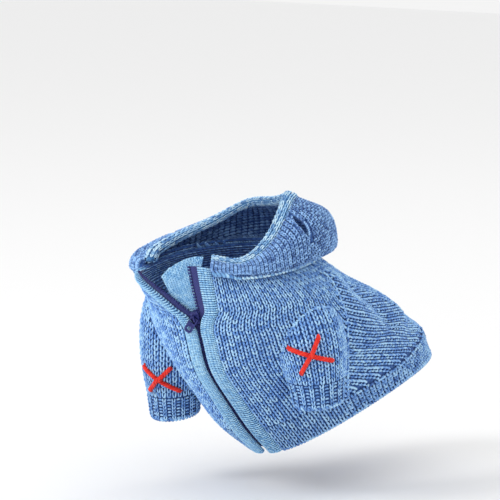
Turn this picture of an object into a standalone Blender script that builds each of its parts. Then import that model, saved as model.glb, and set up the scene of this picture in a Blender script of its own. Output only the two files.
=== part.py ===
"""A knitted zip-up dog hoodie, in the form that it has on a small sitting dog.

Metres, +Z up. The dog would face -Y, and its left side is +X. The origin is the
middle of the neck opening, where the neck carries the garment.
"""

import math
from collections import namedtuple

import bmesh
import bpy
import numpy as np

# Overall sizes of the garment as worn
BODY_REACH = 0.190  # from the neck's middle back to the rear hem
BODY_DROP = 0.133  # from the neck's middle down to the hem at the zip's foot
CHEST_WIDTH = 0.150  # across the shoulders
BRISKET_TAPER = 0.25  # how much narrower a section is towards the zip
ZIP_TWIST = math.radians(8.5)  # how far the zip strays round the body to the left side
COLLAR_FLARE = 0.019  # how far the open right side falls outwards at the neck
COLLAR_FADE = 1.5  # exponent of its fading towards the slider
COLLAR_RISE = 0.0075  # how much higher the left side of the zip ends at the neck
COLLAR_FALL = 0.0050  # how much lower the right side of the zip ends there
SECTION_SQUARENESS = 2.10  # exponent of the sections' superellipse

# Knit and seams
KNIT_WALL = 0.0026  # thickness of the knitted wall
SEAM_GAP = 0.0003  # left between two pieces that are sewn together
HEM_SHARE = 0.150  # share of the body's length that the ribbed hem takes
HEM_RIBS = 60
HEM_ARCH = 0.014  # how much higher the hem stands at the sides than straight across
HEM_ARCH_FROM = 0.50  # share of the body's length where the arch sets in
HEM_RIB_RELIEF = 0.0009
FOLD_DEPTH = 0.0045  # deepest soft fold in the body
FOLD_WIDTH = 0.010  # half width of a soft fold

# Zip, counted sideways along the knit from the zip's middle line
ZIP_SLIDER_AT = 0.225  # share of the body's length where the slider stands
ZIP_SPREAD_LEFT = 0.006  # how far the left side lies open at the neck
ZIP_SPREAD_RIGHT = 0.047  # how far the right side lies open at the neck
ZIP_WEDGE = 0.0015  # how far the slider parts the two rows
ZIP_WEDGE_SHARE = 0.12  # share of the open part over which it does so
ZIP_SPREAD_POWER = 1.1  # 1 would open the zip as a straight V
ZIP_FOOT = 0.985  # share of the body's length where the zip ends
TEETH_WIDTH = 0.0016
TEETH_DEPTH = 0.0017
TEETH_LAP = 0.0001  # how far the teeth stand below the tape
TAPE_WIDTH = 0.0105
TAPE_THICKNESS = 0.0007
TAPE_BEND = 0.6  # share of its width where it can bend
BAND_WIDTH = 0.0090  # knitted edge band beside the zip
BAND_THICKNESS = 0.0036
BAND_END_AT = 0.97  # share of the body's length where it is stitched down
BAND_END_SIZE = 0.72  # how much thinner it is there
BAND_GAP_CLOSED = 0.0021  # from the zip's middle line to the band
BAND_GAP_OPEN = 0.0080  # the same above the slider
BAND_PARTS_BELOW = 0.07  # below the slider by this share of the body's length
BAND_PARTS_OVER = 0.12  # share of the body's length over which the bands part
GUARD_THICKNESS = 0.0013  # flap behind the zip
GUARD_SEWN = 0.0098  # from the left row of teeth to the edge sewn under the tape
GUARD_RIGHT = 0.0200  # from the middle line to the free edge
GUARD_TOP_SHARE = -0.05  # share of the body's length where the guard starts
GUARD_DROOP = 0.095  # how much lower its free corner hangs, as such a share
GUARD_DROOP_ENDS = 0.3  # share of the body's length where it no longer does
GUARD_DROOP_POWER = 1.9  # how late across its width the droop sets in
GUARD_FOOT = 0.78  # share of the body's length where it ends
GUARD_RAMP = 0.0022  # over which it climbs from under the slider to its seam
GUARD_SHAPED = 0.006  # strip beside its seam that has the finer columns
GUARD_ROWS = 14
GUARD_SEAM_COLUMNS = 4
GUARD_FREE_COLUMNS = 5

# Slider and pull
SLIDER_WIDTH = 0.0068
SLIDER_LENGTH = 0.0090
SLIDER_PLATE = 0.0009
SLIDER_POST = 0.0012
SLIDER_TAIL = 0.72  # share of its width that its tail has
SLIDER_WAIST = 0.80  # share of its width at the waist and at the nose
SLIDER_SHOULDER = 0.45  # where it is widest, as a share of half its length
SLIDER_WAIST_AT = -0.22  # where its waist is, as such a share
SLIDER_POST_AT = 0.36  # where the post stands, as a share of its length
PLATE_GAP = 0.00035  # running room between a plate and the teeth
BRIDGE_WIDTH = 0.0010
BRIDGE_WIRE = 0.0008
BRIDGE_SPAN = 0.0035
BRIDGE_CLEAR = 0.0017  # free height under the bridge
PULL_WIDTH = 0.0058
PULL_LENGTH = 0.0110
PULL_THICKNESS = 0.0009
PULL_ARM = 0.0009  # width of each of the two arms beside the eye
PULL_EYE = 0.0036  # from the crossbar to the solid part of the pull
PULL_BAR_RADIUS = 0.00045
PULL_PLAY = 0.0008  # from its crossbar to the bridge's leg
PULL_CHAMFER_AT = 0.88  # share of its length where its end narrows
PULL_TIP = 0.60  # share of its width that its end keeps
PULL_HOLE = (0.62, 0.84)  # shares of its length between which its hole lies
PULL_YAW = math.radians(42)  # towards the dog's right, seen from in front
PULL_RISE = math.radians(20)  # off the garment, resting on the edge band

# Sleeves
SLEEVE_RADIUS = 0.0245  # widest, at the upper arm
SLEEVE_DROP_LEFT = 0.091  # from the neck's middle down to the cuff's lower edge
SLEEVE_DROP_RIGHT = 0.115
SLEEVE_HEAD_DROP = 0.020
SLEEVE_APART = 0.133  # between the two cuffs' middles, sideways
SLEEVE_HEAD_APART = 0.086
SLEEVE_BACK_LEFT = 0.0075  # from the neck's middle back to the cuff's middle
SLEEVE_BACK_RIGHT = 0.0155
SLEEVE_HEAD_BACK_LEFT = 0.0090
SLEEVE_HEAD_BACK_RIGHT = -0.0025
SLEEVE_TILT = math.radians(11)  # rear of the cuff higher than its front
SLEEVE_BOW = 0.03  # how far it bows outwards, as a share of SLEEVE_APART
ARM_ROOM = (0.06, 1.06)  # stretch of the sleeve that is cut free for the foreleg
CUFF_LENGTH = 0.016
CUFF_RIBS = 24
CUFF_RIB_RELIEF = 0.0010

# Hood, lying down behind the neck
HOOD_REACH = 0.020  # how far the pouch stands out behind the neck seam
HOOD_HEIGHT = 0.042
HOOD_TUCK = 0.016  # how far the hood's edge leans in over the neck
HOOD_SAG = 0.017  # how far the pouch hangs below its seam
HOOD_BAND_WIDTH = 0.0085
HOOD_BAND_THICKNESS = 0.0042
EAR_SLOT_LENGTH = 0.022
EAR_SLOT_WIDTH = 0.0046
EAR_SLOT_TURN = 0.26  # share of the neck seam from its left end
EAR_SLOT_AT = 0.65  # share of the hood's profile, from its seam to its edge
EAR_SLOT_LEAN = math.radians(4)  # off the hood's profile, towards the back
EAR_SLOT_BULGE = 0.35  # 0 would make it a long box and 1 a lens with sharp ends
EAR_SLOT_SIDES = 16
HOOD_BACK = 0.57  # share of the neck seam where the hood's middle line stands

# Crossed stitches on the sleeves
CROSS_YARN = 0.0030
CROSS_SPAN = 0.031
CROSS_END_TAPER = 0.4  # how much thinner a strand is where it goes into the knit

Section = namedtuple("Section", "along front_y front_z back_y back_z half_width taper twist")
# y as shares of BODY_REACH, z of BODY_DROP, widths of CHEST_WIDTH, taper of BRISKET_TAPER,
# and twist of ZIP_TWIST, by which the zip strays to the left on the wearer
SECTIONS = [
    Section(0.00, -0.285, -0.030, 0.285, 0.050, 0.315, 0.35, 0.00),
    Section(0.12, -0.292, -0.130, 0.340, -0.030, 0.430, 0.45, 0.45),
    Section(0.30, -0.261, -0.320, 0.446, -0.130, 0.485, 0.55, 0.80),
    Section(0.50, -0.204, -0.520, 0.655, -0.240, 0.485, 0.80, 0.80),
    Section(0.70, -0.108, -0.710, 0.822, -0.355, 0.465, 1.00, 1.12),
    Section(0.86, 0.005, -0.890, 0.945, -0.478, 0.435, 1.00, 1.25),
    Section(1.00, 0.153, -1.030, 1.030, -0.625, 0.400, 0.80, 0.70),
]

Fold = namedtuple("Fold", "side along_a turn_a along_b turn_b width depth")
# turn is the share of a half turn from the zip round to the back, width and depth
# are shares of FOLD_WIDTH and FOLD_DEPTH, and a negative depth is a hollow
FOLDS = [
    Fold(+1, 0.18, 0.72, 0.62, 0.60, 0.75, -0.80),
    Fold(+1, 0.14, 0.60, 0.58, 0.50, 0.80, 0.45),
    Fold(+1, 0.20, 0.84, 0.66, 0.72, 0.80, 0.55),
    Fold(+1, 0.56, 0.95, 0.80, 0.60, 0.85, -0.45),
    Fold(+1, 0.86, 0.98, 0.86, 0.30, 0.70, 0.42),
    Fold(-1, 0.20, 0.72, 0.60, 0.60, 0.80, -0.60),
    Fold(-1, 0.24, 0.84, 0.66, 0.72, 0.80, 0.45),
    Fold(-1, 0.86, 0.98, 0.86, 0.30, 0.70, 0.42),
]

SleeveRing = namedtuple("SleeveRing", "along radius")
# radius as shares of SLEEVE_RADIUS
SLEEVE_RINGS = [
    SleeveRing(0.00, 0.88),
    SleeveRing(0.14, 1.00),
    SleeveRing(0.36, 1.00),
    SleeveRing(0.66, 0.84),
    SleeveRing(0.84, 0.71),
    SleeveRing(1.00, 0.65),
]

HoodStation = namedtuple("HoodStation", "turn reach height tuck sag")
# turn runs from the neck seam's left end round the back to its right end; the rest are
# shares of HOOD_REACH, HOOD_HEIGHT, HOOD_TUCK and HOOD_SAG
HOOD_STATIONS = [
    HoodStation(0.00, 0.30, 0.12, 0.00, 0.20),
    HoodStation(0.11, 0.38, 0.18, 0.02, 0.22),
    HoodStation(0.20, 0.60, 0.52, 0.36, 0.25),
    HoodStation(0.29, 0.82, 1.00, 0.80, 0.28),
    HoodStation(0.42, 0.92, 0.93, 1.00, 0.35),
    HoodStation(0.57, 0.95, 0.78, 1.00, 0.45),
    HoodStation(0.72, 1.00, 0.70, 0.80, 0.60),
    HoodStation(0.84, 1.00, 0.40, 0.30, 0.85),
    HoodStation(0.93, 1.08, 0.22, 0.02, 1.00),
    HoodStation(0.97, 0.95, 0.16, 0.00, 0.85),
    HoodStation(1.00, 0.25, 0.10, 0.00, 0.30),
]

Cross = namedtuple("Cross", "side along turn lean_a length_a lean_b length_b")
# along is the share of the sleeve's length, turn is degrees from the sleeve's front
# round to its outer side, each lean is degrees from level, and each length is a share
# of CROSS_SPAN
CROSSES = [
    Cross(+1, 0.485, 37, -17, 1.00, 64, 1.00),
    Cross(-1, 0.68, -4, 34, 1.10, -47, 0.85),
]

FLARE_ANGLE = math.radians(-52)  # where the open side falls out most, from the zip's line
FLARE_WIDTH = math.radians(48)
RISE_ANGLE = math.radians(12)  # where the neck line stands highest beside the zip
RISE_WIDTH = math.radians(30)
FALL_ANGLE = math.radians(-62)  # where it hangs lowest
FALL_WIDTH = math.radians(26)

COLOURS = {
    "knit": ((0.135, 0.280, 0.540), 0.9, 0.0),
    "light_knit": ((0.300, 0.540, 0.750), 0.9, 0.0),
    "navy_tape": ((0.030, 0.040, 0.210), 0.7, 0.0),
    "navy_metal": ((0.035, 0.045, 0.190), 0.35, 0.7),
    "red_yarn": ((0.640, 0.030, 0.015), 0.85, 0.0),
}

# Heights over the middle of the knitted wall, outwards
BAND_FLOOR = -0.0012
TAPE_TOP = BAND_FLOOR - 2 * SEAM_GAP
TAPE_FLOOR = TAPE_TOP - TAPE_THICKNESS
TEETH_FLOOR = TAPE_FLOOR - TEETH_LAP
TEETH_TOP = TEETH_FLOOR + TEETH_DEPTH
GUARD_TOP = TEETH_FLOOR - PLATE_GAP - SLIDER_PLATE - 2 * SEAM_GAP
BAND_TOP = BAND_FLOOR + BAND_THICKNESS
STEP = 1e-4

# How finely the knitted walls are divided
BODY_ROWS = 17
BODY_COLUMNS = 42
HOOD_COLUMNS = 35


def smooth(table, field, at):
    """A smooth curve through one column of a table, read at the shares `at`."""
    x = np.array([row[0] for row in table], float)
    y = np.array([getattr(row, field) for row in table], float)
    slope = np.gradient(y, x)
    at = np.clip(np.asarray(at, float), x[0], x[-1])
    i = np.clip(np.searchsorted(x, at, side="right") - 1, 0, len(x) - 2)
    span = x[i + 1] - x[i]
    t = (at - x[i]) / span
    return (
        (2 * t**3 - 3 * t**2 + 1) * y[i]
        + (t**3 - 2 * t**2 + t) * span * slope[i]
        + (3 * t**2 - 2 * t**3) * y[i + 1]
        + (t**3 - t**2) * span * slope[i + 1]
    )


def unit(v):
    return v / np.maximum(np.linalg.norm(v, axis=-1, keepdims=True), 1e-12)


def beyond(share):
    """The part of a share that lies past the body's two ends."""
    return share - np.clip(share, 0.0, 1.0)


def swell(angle, centre, width):
    """A smooth hump round one angle, 1 at its top."""
    away = np.mod(angle - centre + math.pi, 2 * math.pi) - math.pi
    return np.exp(-((away / width) ** 2))


def torso_middle(along, angle):
    """The knitted wall's middle, before folds. The angle is 0 at the zip and pi at the back."""
    along, angle = np.broadcast_arrays(np.asarray(along, float), np.asarray(angle, float))
    past = beyond(along)
    share = along - past
    front_y = smooth(SECTIONS, "front_y", share) * BODY_REACH
    front_z = smooth(SECTIONS, "front_z", share) * BODY_DROP
    back_y = smooth(SECTIONS, "back_y", share) * BODY_REACH
    back_z = smooth(SECTIONS, "back_z", share) * BODY_DROP
    half = smooth(SECTIONS, "half_width", share) * CHEST_WIDTH
    taper = smooth(SECTIONS, "taper", share) * BRISKET_TAPER
    turned = angle + smooth(SECTIONS, "twist", share) * ZIP_TWIST
    cos, sin = np.cos(turned), np.sin(turned)
    power = 2 / SECTION_SQUARENESS
    side = np.sign(sin) * np.abs(sin) ** power * (1 - taper * ((1 + cos) / 2) ** 2)
    depth = (1 - np.sign(cos) * np.abs(cos) ** power) / 2
    y = front_y + (back_y - front_y) * depth
    arch = np.clip((share - HEM_ARCH_FROM) / (1 - HEM_ARCH_FROM), 0.0, 1.0) ** 2
    z = front_z + (back_z - front_z) * depth - past * BODY_DROP + HEM_ARCH * arch * sin**2
    fade = np.clip((ZIP_SLIDER_AT - along) / ZIP_SLIDER_AT, 0.0, 1.0) ** COLLAR_FADE
    flare = COLLAR_FLARE * fade * swell(angle, FLARE_ANGLE, FLARE_WIDTH)
    z = z + COLLAR_RISE * fade * swell(angle, RISE_ANGLE, RISE_WIDTH)
    z = z - COLLAR_FALL * fade * swell(angle, FALL_ANGLE, FALL_WIDTH)
    x = half * side + flare * math.sin(FLARE_ANGLE)
    return np.stack([x, y - flare * math.cos(FLARE_ANGLE), z], axis=-1)


def outward(surface, along, angle):
    """Unit normals of a surface, away from the inside of the garment."""
    across = surface(along, angle + STEP) - surface(along, angle - STEP)
    down = surface(along + STEP, angle) - surface(along - STEP, angle)
    return unit(np.cross(down, across))


def fold_height(along, angle):
    """How far the soft folds raise the wall."""
    turn = np.mod(angle, 2 * math.pi) / math.pi
    side = np.where(turn > 1, -1, 1)
    turn = np.where(turn > 1, 2 - turn, turn)
    scale = np.array([BODY_DROP * 1.2, CHEST_WIDTH * 1.3])  # metres per share of each
    height = np.zeros(np.broadcast(along, angle).shape)
    for fold in FOLDS:
        a = np.array([fold.along_a, fold.turn_a]) * scale
        b = np.array([fold.along_b, fold.turn_b]) * scale
        p = np.stack(np.broadcast_arrays(along * scale[0], turn * scale[1]), axis=-1)
        t = np.clip(((p - a) @ (b - a)) / ((b - a) @ (b - a)), 0, 1)
        away = np.linalg.norm(p - a - t[..., None] * (b - a), axis=-1)
        wave = np.exp(-((away / (fold.width * FOLD_WIDTH)) ** 2))
        height += np.where(side == fold.side, wave * fold.depth * FOLD_DEPTH, 0)
    return height


def torso(along, angle, lift=0.0):
    """A point of the body's knitted wall, `lift` outside its middle."""
    along, angle = np.asarray(along, float), np.asarray(angle, float)
    normal = outward(torso_middle, along, angle)
    height = fold_height(along, angle) + lift
    return torso_middle(along, angle) + normal * np.asarray(height)[..., None]


def angle_at(along, arc):
    """The angle that lies `arc` metres from the zip's middle line round one ring."""
    angles = np.linspace(0, math.pi, 241)
    ring = torso_middle(along, angles)
    walked = np.concatenate([[0], np.cumsum(np.linalg.norm(np.diff(ring, axis=0), axis=1))])
    return math.copysign(float(np.interp(abs(arc), walked, angles)), arc)


def opened(along):
    """0 from the slider down, rising to 1 at the neck."""
    return max(0.0, (ZIP_SLIDER_AT - along) / ZIP_SLIDER_AT)


def zip_edge(side, along):
    """Signed arc from the middle line to one side's row of teeth."""
    spread = ZIP_SPREAD_LEFT if side > 0 else ZIP_SPREAD_RIGHT
    share = opened(along)
    wedge = ZIP_WEDGE * min(1.0, share / ZIP_WEDGE_SHARE)
    return side * (spread * share**ZIP_SPREAD_POWER + wedge)


def band_gap(along):
    """From the row of teeth to the edge band."""
    start = ZIP_SLIDER_AT + BAND_PARTS_BELOW
    share = min(1.0, max(0.0, (start - along) / BAND_PARTS_OVER))
    share = share * share * (3 - 2 * share)
    return BAND_GAP_CLOSED + (BAND_GAP_OPEN - BAND_GAP_CLOSED) * share


def strip_point(side, along, arc, lift):
    """A point `arc` metres out from one side's zip edge."""
    return torso(along, angle_at(along, zip_edge(side, along) + side * arc), lift)


def add_object(name, mesh, colour):
    """A named object with the material of that colour."""
    obj = bpy.data.objects.new(name, mesh)
    bpy.context.scene.collection.objects.link(obj)
    material = bpy.data.materials.get(colour) or bpy.data.materials.new(colour)
    material.use_nodes = True
    shader = material.node_tree.nodes["Principled BSDF"]
    tint, roughness, metallic = COLOURS[colour]
    shader.inputs["Base Color"].default_value = (*tint, 1)
    shader.inputs["Roughness"].default_value = roughness
    shader.inputs["Metallic"].default_value = metallic
    mesh.materials.append(material)
    return obj


def mesh_from(name, points, faces):
    mesh = bpy.data.meshes.new(name)
    mesh.from_pydata([tuple(p) for p in points], [], faces)
    bm = bmesh.new()
    bm.from_mesh(mesh)
    bmesh.ops.recalc_face_normals(bm, faces=bm.faces)
    bm.to_mesh(mesh)
    bm.free()
    mesh.validate()
    mesh.shade_smooth()
    mesh.set_sharp_from_angle(angle=math.radians(50))
    return mesh


def wall(name, outer, inner, colour, closed=False):
    """A sheet with thickness between two equal grids of points, closed round if asked."""
    rows, columns = outer.shape[:2]
    points = np.concatenate([outer.reshape(-1, 3), inner.reshape(-1, 3)])
    back = rows * columns
    last = columns if closed else columns - 1
    faces = []
    for i in range(rows - 1):
        for j in range(last):
            k = (j + 1) % columns
            a, b, c, d = i * columns + j, i * columns + k, (i + 1) * columns + k, (i + 1) * columns + j
            faces.append((a, b, c, d))
            faces.append((back + d, back + c, back + b, back + a))
    for i, flip in ((0, False), (rows - 1, True)):
        for j in range(last):
            a, b = i * columns + j, i * columns + (j + 1) % columns
            faces.append((a, b, back + b, back + a) if flip else (b, a, back + a, back + b))
    if not closed:
        for j, flip in ((0, True), (columns - 1, False)):
            for i in range(rows - 1):
                a, b = i * columns + j, (i + 1) * columns + j
                faces.append((a, b, back + b, back + a) if flip else (b, a, back + a, back + b))
    return add_object(name, mesh_from(name, points, faces), colour)


def loft(name, rings, colour):
    """A solid through closed rings of equal size, with flat ends."""
    rings = np.asarray(rings)
    count, around = rings.shape[:2]
    faces = [tuple(range(around)), tuple(reversed(range((count - 1) * around, count * around)))]
    for i in range(count - 1):
        for j in range(around):
            k = (j + 1) % around
            faces.append((i * around + j, (i + 1) * around + j, (i + 1) * around + k, i * around + k))
    return add_object(name, mesh_from(name, rings.reshape(-1, 3), faces), colour)


def helper(obj):
    """Marks a solid that only cuts others or is joined to them."""
    obj.hide_render = True
    obj.display_type = "WIRE"
    return obj


def cut(obj, cutter):
    """Takes one solid out of another."""
    modifier = obj.modifiers.new("Cut", "BOOLEAN")
    modifier.operation = "DIFFERENCE"
    modifier.solver = "EXACT"
    modifier.object = cutter


def body_span(along):
    """The two angles between which the body's wall runs at one ring."""
    reach = band_gap(along) + BAND_WIDTH + SEAM_GAP
    left = angle_at(along, zip_edge(+1, along) + reach)
    right = angle_at(along, zip_edge(-1, along) - reach)
    return left, 2 * math.pi + right


def body_rows():
    """Where the body's rings lie, from the neck to the hem's seam."""
    return np.linspace(0, 1 - HEM_SHARE, BODY_ROWS)


def hem_rows():
    return np.linspace(1 - HEM_SHARE + SEAM_GAP / BODY_DROP, 1, 3)


def body_grid(rows, columns, lift):
    """Points of the body's wall on its rings; lift is a number or a row per column."""
    grid = []
    for along in rows:
        left, right = body_span(along)
        grid.append(torso(along, np.linspace(left, right, columns), lift))
    return np.array(grid)


def make_body():
    half = KNIT_WALL / 2
    outer = body_grid(body_rows(), BODY_COLUMNS, half)
    inner = body_grid(body_rows(), BODY_COLUMNS, -half)
    return wall("body", outer, inner, "knit")


def make_hem():
    """The ribbed hem: a zigzag of raised and sunk columns."""
    columns = 2 * HEM_RIBS + 1
    rib = np.where(np.arange(columns) % 2 == 0, 0.5, -0.5) * HEM_RIB_RELIEF
    outer = body_grid(hem_rows(), columns, KNIT_WALL / 2 + rib)
    inner = body_grid(hem_rows(), columns, -KNIT_WALL / 2 + rib)
    return wall("hem_rib", outer, inner, "knit")


def rounded(width, height, sides=8, power=2.6):
    """Points of a rounded bar's section, as (across, up) about its middle."""
    angles = (np.arange(sides) + 0.5) * 2 * math.pi / sides
    across = np.sign(np.cos(angles)) * np.abs(np.cos(angles)) ** (2 / power) * width / 2
    up = np.sign(np.sin(angles)) * np.abs(np.sin(angles)) ** (2 / power) * height / 2
    return np.stack([across, up], axis=1)


def make_band(side, name):
    """The padded edge band that runs beside one row of teeth."""
    section = rounded(BAND_WIDTH, BAND_THICKNESS)
    rings = []
    for along in np.concatenate([body_rows(), hem_rows()]):
        middle = band_gap(along) + BAND_WIDTH / 2
        size = 1.0 if along < BAND_END_AT else BAND_END_SIZE
        rings.append(
            [
                strip_point(side, along, middle + a * size, (BAND_FLOOR + BAND_TOP) / 2 + h * size)
                for a, h in section
            ]
        )
    return loft(name, rings, "light_knit")


def make_tape(side, name):
    """The woven tape with its row of teeth as a raised edge."""
    near = SEAM_GAP / 2
    section = [
        (near, TEETH_FLOOR),
        (near, TEETH_TOP),
        (near + TEETH_WIDTH, TEETH_TOP),
        (near + TEETH_WIDTH, TAPE_TOP),
        (near + TAPE_WIDTH * TAPE_BEND, TAPE_TOP),
        (near + TAPE_WIDTH, TAPE_TOP),
        (near + TAPE_WIDTH, TAPE_FLOOR),
        (near + TAPE_WIDTH * TAPE_BEND, TAPE_FLOOR),
        (near + TEETH_WIDTH, TAPE_FLOOR),
    ]
    rings = [
        [strip_point(side, along, arc, lift) for arc, lift in section]
        for along in np.append(body_rows(), [hem_rows()[1], ZIP_FOOT])
    ]
    return loft(name, rings, "navy_tape")


def guard_lift(arc):
    """The guard's upper face: clear of the slider, then up to its seam under the tape."""
    share = np.clip((arc - SLIDER_WIDTH / 2 - SEAM_GAP) / GUARD_RAMP, 0, 1)
    share = share * share * (3 - 2 * share)
    return GUARD_TOP + (TAPE_FLOOR - SEAM_GAP - GUARD_TOP) * share


def make_guard():
    """The soft flap behind the zip, which shows in its open top."""
    outer, inner = [], []
    for along in np.linspace(GUARD_TOP_SHARE, GUARD_FOOT, GUARD_ROWS):
        left = zip_edge(+1, along) + GUARD_SEWN
        sewn = np.linspace(left, left - GUARD_SHAPED, GUARD_SEAM_COLUMNS)
        arcs = np.concatenate([sewn, np.linspace(0, -GUARD_RIGHT, GUARD_FREE_COLUMNS)])
        slack = max(0.0, 1 - max(along, 0.0) / GUARD_DROOP_ENDS)
        for arc in arcs:
            free = max(0.0, (left - arc) / (left + GUARD_RIGHT))
            low = along + GUARD_DROOP * slack * free**GUARD_DROOP_POWER
            lift = guard_lift(arc - zip_edge(+1, along))
            angle = angle_at(low, arc)
            outer.append(torso(low, angle, lift))
            inner.append(torso(low, angle, lift - GUARD_THICKNESS))
    shape = (GUARD_ROWS, GUARD_SEAM_COLUMNS + GUARD_FREE_COLUMNS, 3)
    return wall("zip_guard", np.reshape(outer, shape), np.reshape(inner, shape), "light_knit")


def slider_frame():
    """Origin on the teeth's top at the slider, and the ways right, up the zip and out."""
    out = outward(torso_middle, np.array(ZIP_SLIDER_AT), np.array(0.0))
    up = unit(torso_middle(ZIP_SLIDER_AT - STEP, 0) - torso_middle(ZIP_SLIDER_AT + STEP, 0))
    left = np.cross(up, out)
    origin = torso(ZIP_SLIDER_AT, 0.0, TEETH_TOP)
    return origin, unit(left), unit(up), unit(out)


def box_points(origin, axes, low, high):
    """The eight corners of a box in a frame of its own."""
    corners = [(x, y, z) for z in (low[2], high[2]) for y in (low[1], high[1]) for x in (low[0], high[0])]
    return [origin + sum(c * axis for c, axis in zip(corner, axes)) for corner in corners]


BOX_FACES = [(0, 1, 3, 2), (4, 6, 7, 5), (0, 4, 5, 1), (2, 3, 7, 6), (0, 2, 6, 4), (1, 5, 7, 3)]


def block(name, points, faces=BOX_FACES):
    return helper(add_object(name, mesh_from(name, points, faces), "navy_metal"))


def fuse(obj, others):
    """Unites hidden solids with a shown one, so that they are one body."""
    for other in others:
        modifier = obj.modifiers.new("Join", "BOOLEAN")
        modifier.operation = "UNION"
        modifier.solver = "EXACT"
        modifier.object = other
    return obj


def make_slider():
    """Two plates on a wedge post, with a bridge that carries the pull."""
    origin, left, up, out = slider_frame()
    axes = (left, up, out)
    top = PLATE_GAP
    floor = -TEETH_DEPTH - PLATE_GAP
    half = SLIDER_WIDTH / 2

    def plate(low_z):
        tail, nose = -SLIDER_LENGTH / 2, SLIDER_LENGTH / 2
        outline = [
            (-half * SLIDER_TAIL, tail),
            (half * SLIDER_TAIL, tail),
            (half * SLIDER_WAIST, nose * SLIDER_WAIST_AT),
            (half, nose * SLIDER_SHOULDER),
            (half * SLIDER_WAIST, nose),
            (-half * SLIDER_WAIST, nose),
            (-half, nose * SLIDER_SHOULDER),
            (-half * SLIDER_WAIST, nose * SLIDER_WAIST_AT),
        ]
        return [
            [origin + x * left + y * up + z * out for x, y in outline]
            for z in (low_z, low_z + SLIDER_PLATE)
        ]

    slider = loft("zip_slider", plate(top), "navy_metal")
    lower = helper(loft("slider_lower_plate", plate(floor - SLIDER_PLATE), "navy_metal"))
    post_y = SLIDER_LENGTH * SLIDER_POST_AT
    post = block(
        "slider_post",
        box_points(
            origin,
            axes,
            (-SLIDER_POST / 2, post_y - SLIDER_POST / 2, floor - SLIDER_PLATE / 2),
            (SLIDER_POST / 2, post_y + SLIDER_POST / 2, top + SLIDER_PLATE / 2),
        ),
    )
    reach = BRIDGE_SPAN / 2
    base = top + SLIDER_PLATE * 0.4
    crown = top + SLIDER_PLATE + BRIDGE_CLEAR
    legs = []
    for sign in (-1, 1):
        legs.append(
            block(
                f"bridge_leg_{'tail' if sign < 0 else 'nose'}",
                box_points(
                    origin,
                    axes,
                    (-BRIDGE_WIDTH / 2, sign * reach - BRIDGE_WIRE / 2, base),
                    (BRIDGE_WIDTH / 2, sign * reach + BRIDGE_WIRE / 2, crown + BRIDGE_WIRE * 0.6),
                ),
            )
        )
    crown_bar = block(
        "bridge_crown",
        box_points(
            origin,
            axes,
            (-BRIDGE_WIDTH * 0.46, -reach * 0.98, crown),
            (BRIDGE_WIDTH * 0.46, reach * 0.98, crown + BRIDGE_WIRE),
        ),
    )
    return fuse(slider, [lower, post, *legs, crown_bar])


def pull_pivot():
    """The pull's hinge point, under the bridge, and the hinge's frame."""
    origin, left, up, out = slider_frame()
    height = PLATE_GAP + SLIDER_PLATE + BRIDGE_CLEAR / 2
    below = BRIDGE_SPAN / 2 - BRIDGE_WIRE / 2 - PULL_BAR_RADIUS - PULL_PLAY
    pivot = origin + out * height - up * below
    down = unit(-up * math.cos(PULL_YAW) - left * math.sin(PULL_YAW))
    axis = unit(np.cross(down, out))
    along = unit(down * math.cos(PULL_RISE) + out * math.sin(PULL_RISE))
    face = unit(np.cross(axis, along))
    return pivot, axis, along, face


def make_pull():
    """The pull tab: a crossbar under the bridge, two arms and a plate with a rounded end."""
    pivot, axis, along, face = pull_pivot()
    half = PULL_WIDTH / 2
    arm = PULL_ARM
    outline = [
        (-half, -arm / 2),
        (-half, PULL_LENGTH * PULL_CHAMFER_AT),
        (-half * PULL_TIP, PULL_LENGTH),
        (half * PULL_TIP, PULL_LENGTH),
        (half, PULL_LENGTH * PULL_CHAMFER_AT),
        (half, -arm / 2),
    ]
    rings = [
        [pivot + x * axis + y * along + z * face for x, y in outline]
        for z in (-PULL_THICKNESS / 2, PULL_THICKNESS / 2)
    ]
    pull = loft("zip_pull", rings, "navy_metal")
    inner = half - arm
    bar = PULL_BAR_RADIUS
    eye = block(
        "pull_eye",
        box_points(
            pivot,
            (axis, along, face),
            (-inner, bar, -2 * PULL_THICKNESS),
            (inner, PULL_EYE, 2 * PULL_THICKNESS),
        ),
    )
    tab_hole = block(
        "pull_tab_hole",
        box_points(
            pivot,
            (axis, along, face),
            (-half / 2, PULL_LENGTH * PULL_HOLE[0], -2 * PULL_THICKNESS),
            (half / 2, PULL_LENGTH * PULL_HOLE[1], 2 * PULL_THICKNESS),
        ),
    )
    cut(pull, eye)
    cut(pull, tab_hole)
    return pull


def sleeve_drop(side):
    return SLEEVE_DROP_LEFT if side > 0 else SLEEVE_DROP_RIGHT


def sleeve_point(side, along, angle, lift=0.0):
    """A point of a sleeve, from inside the shoulder (0) to the cuff's edge (1). The
    angle is 0 at the front and 90 degrees on the outer side."""
    along, angle = np.broadcast_arrays(np.asarray(along, float), np.asarray(angle, float))
    bow = 4 * np.clip(along, 0, 1) * (1 - np.clip(along, 0, 1)) * SLEEVE_BOW * SLEEVE_APART
    x = (SLEEVE_HEAD_APART + (SLEEVE_APART - SLEEVE_HEAD_APART) * along) / 2 + bow
    back = SLEEVE_BACK_LEFT if side > 0 else SLEEVE_BACK_RIGHT
    head_back = SLEEVE_HEAD_BACK_LEFT if side > 0 else SLEEVE_HEAD_BACK_RIGHT
    y = head_back + (back - head_back) * along
    z = -SLEEVE_HEAD_DROP - (sleeve_drop(side) - SLEEVE_HEAD_DROP) * along
    radius = smooth(SLEEVE_RINGS, "radius", along) * SLEEVE_RADIUS + lift
    tilt = SLEEVE_TILT * along
    forward = radius * np.cos(angle)
    return np.stack(
        [side * (x + radius * np.sin(angle)), y - forward * np.cos(tilt), z - forward * np.sin(tilt)],
        axis=-1,
    )


def cuff_start(side):
    return 1 - CUFF_LENGTH / (sleeve_drop(side) - SLEEVE_HEAD_DROP)


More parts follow.
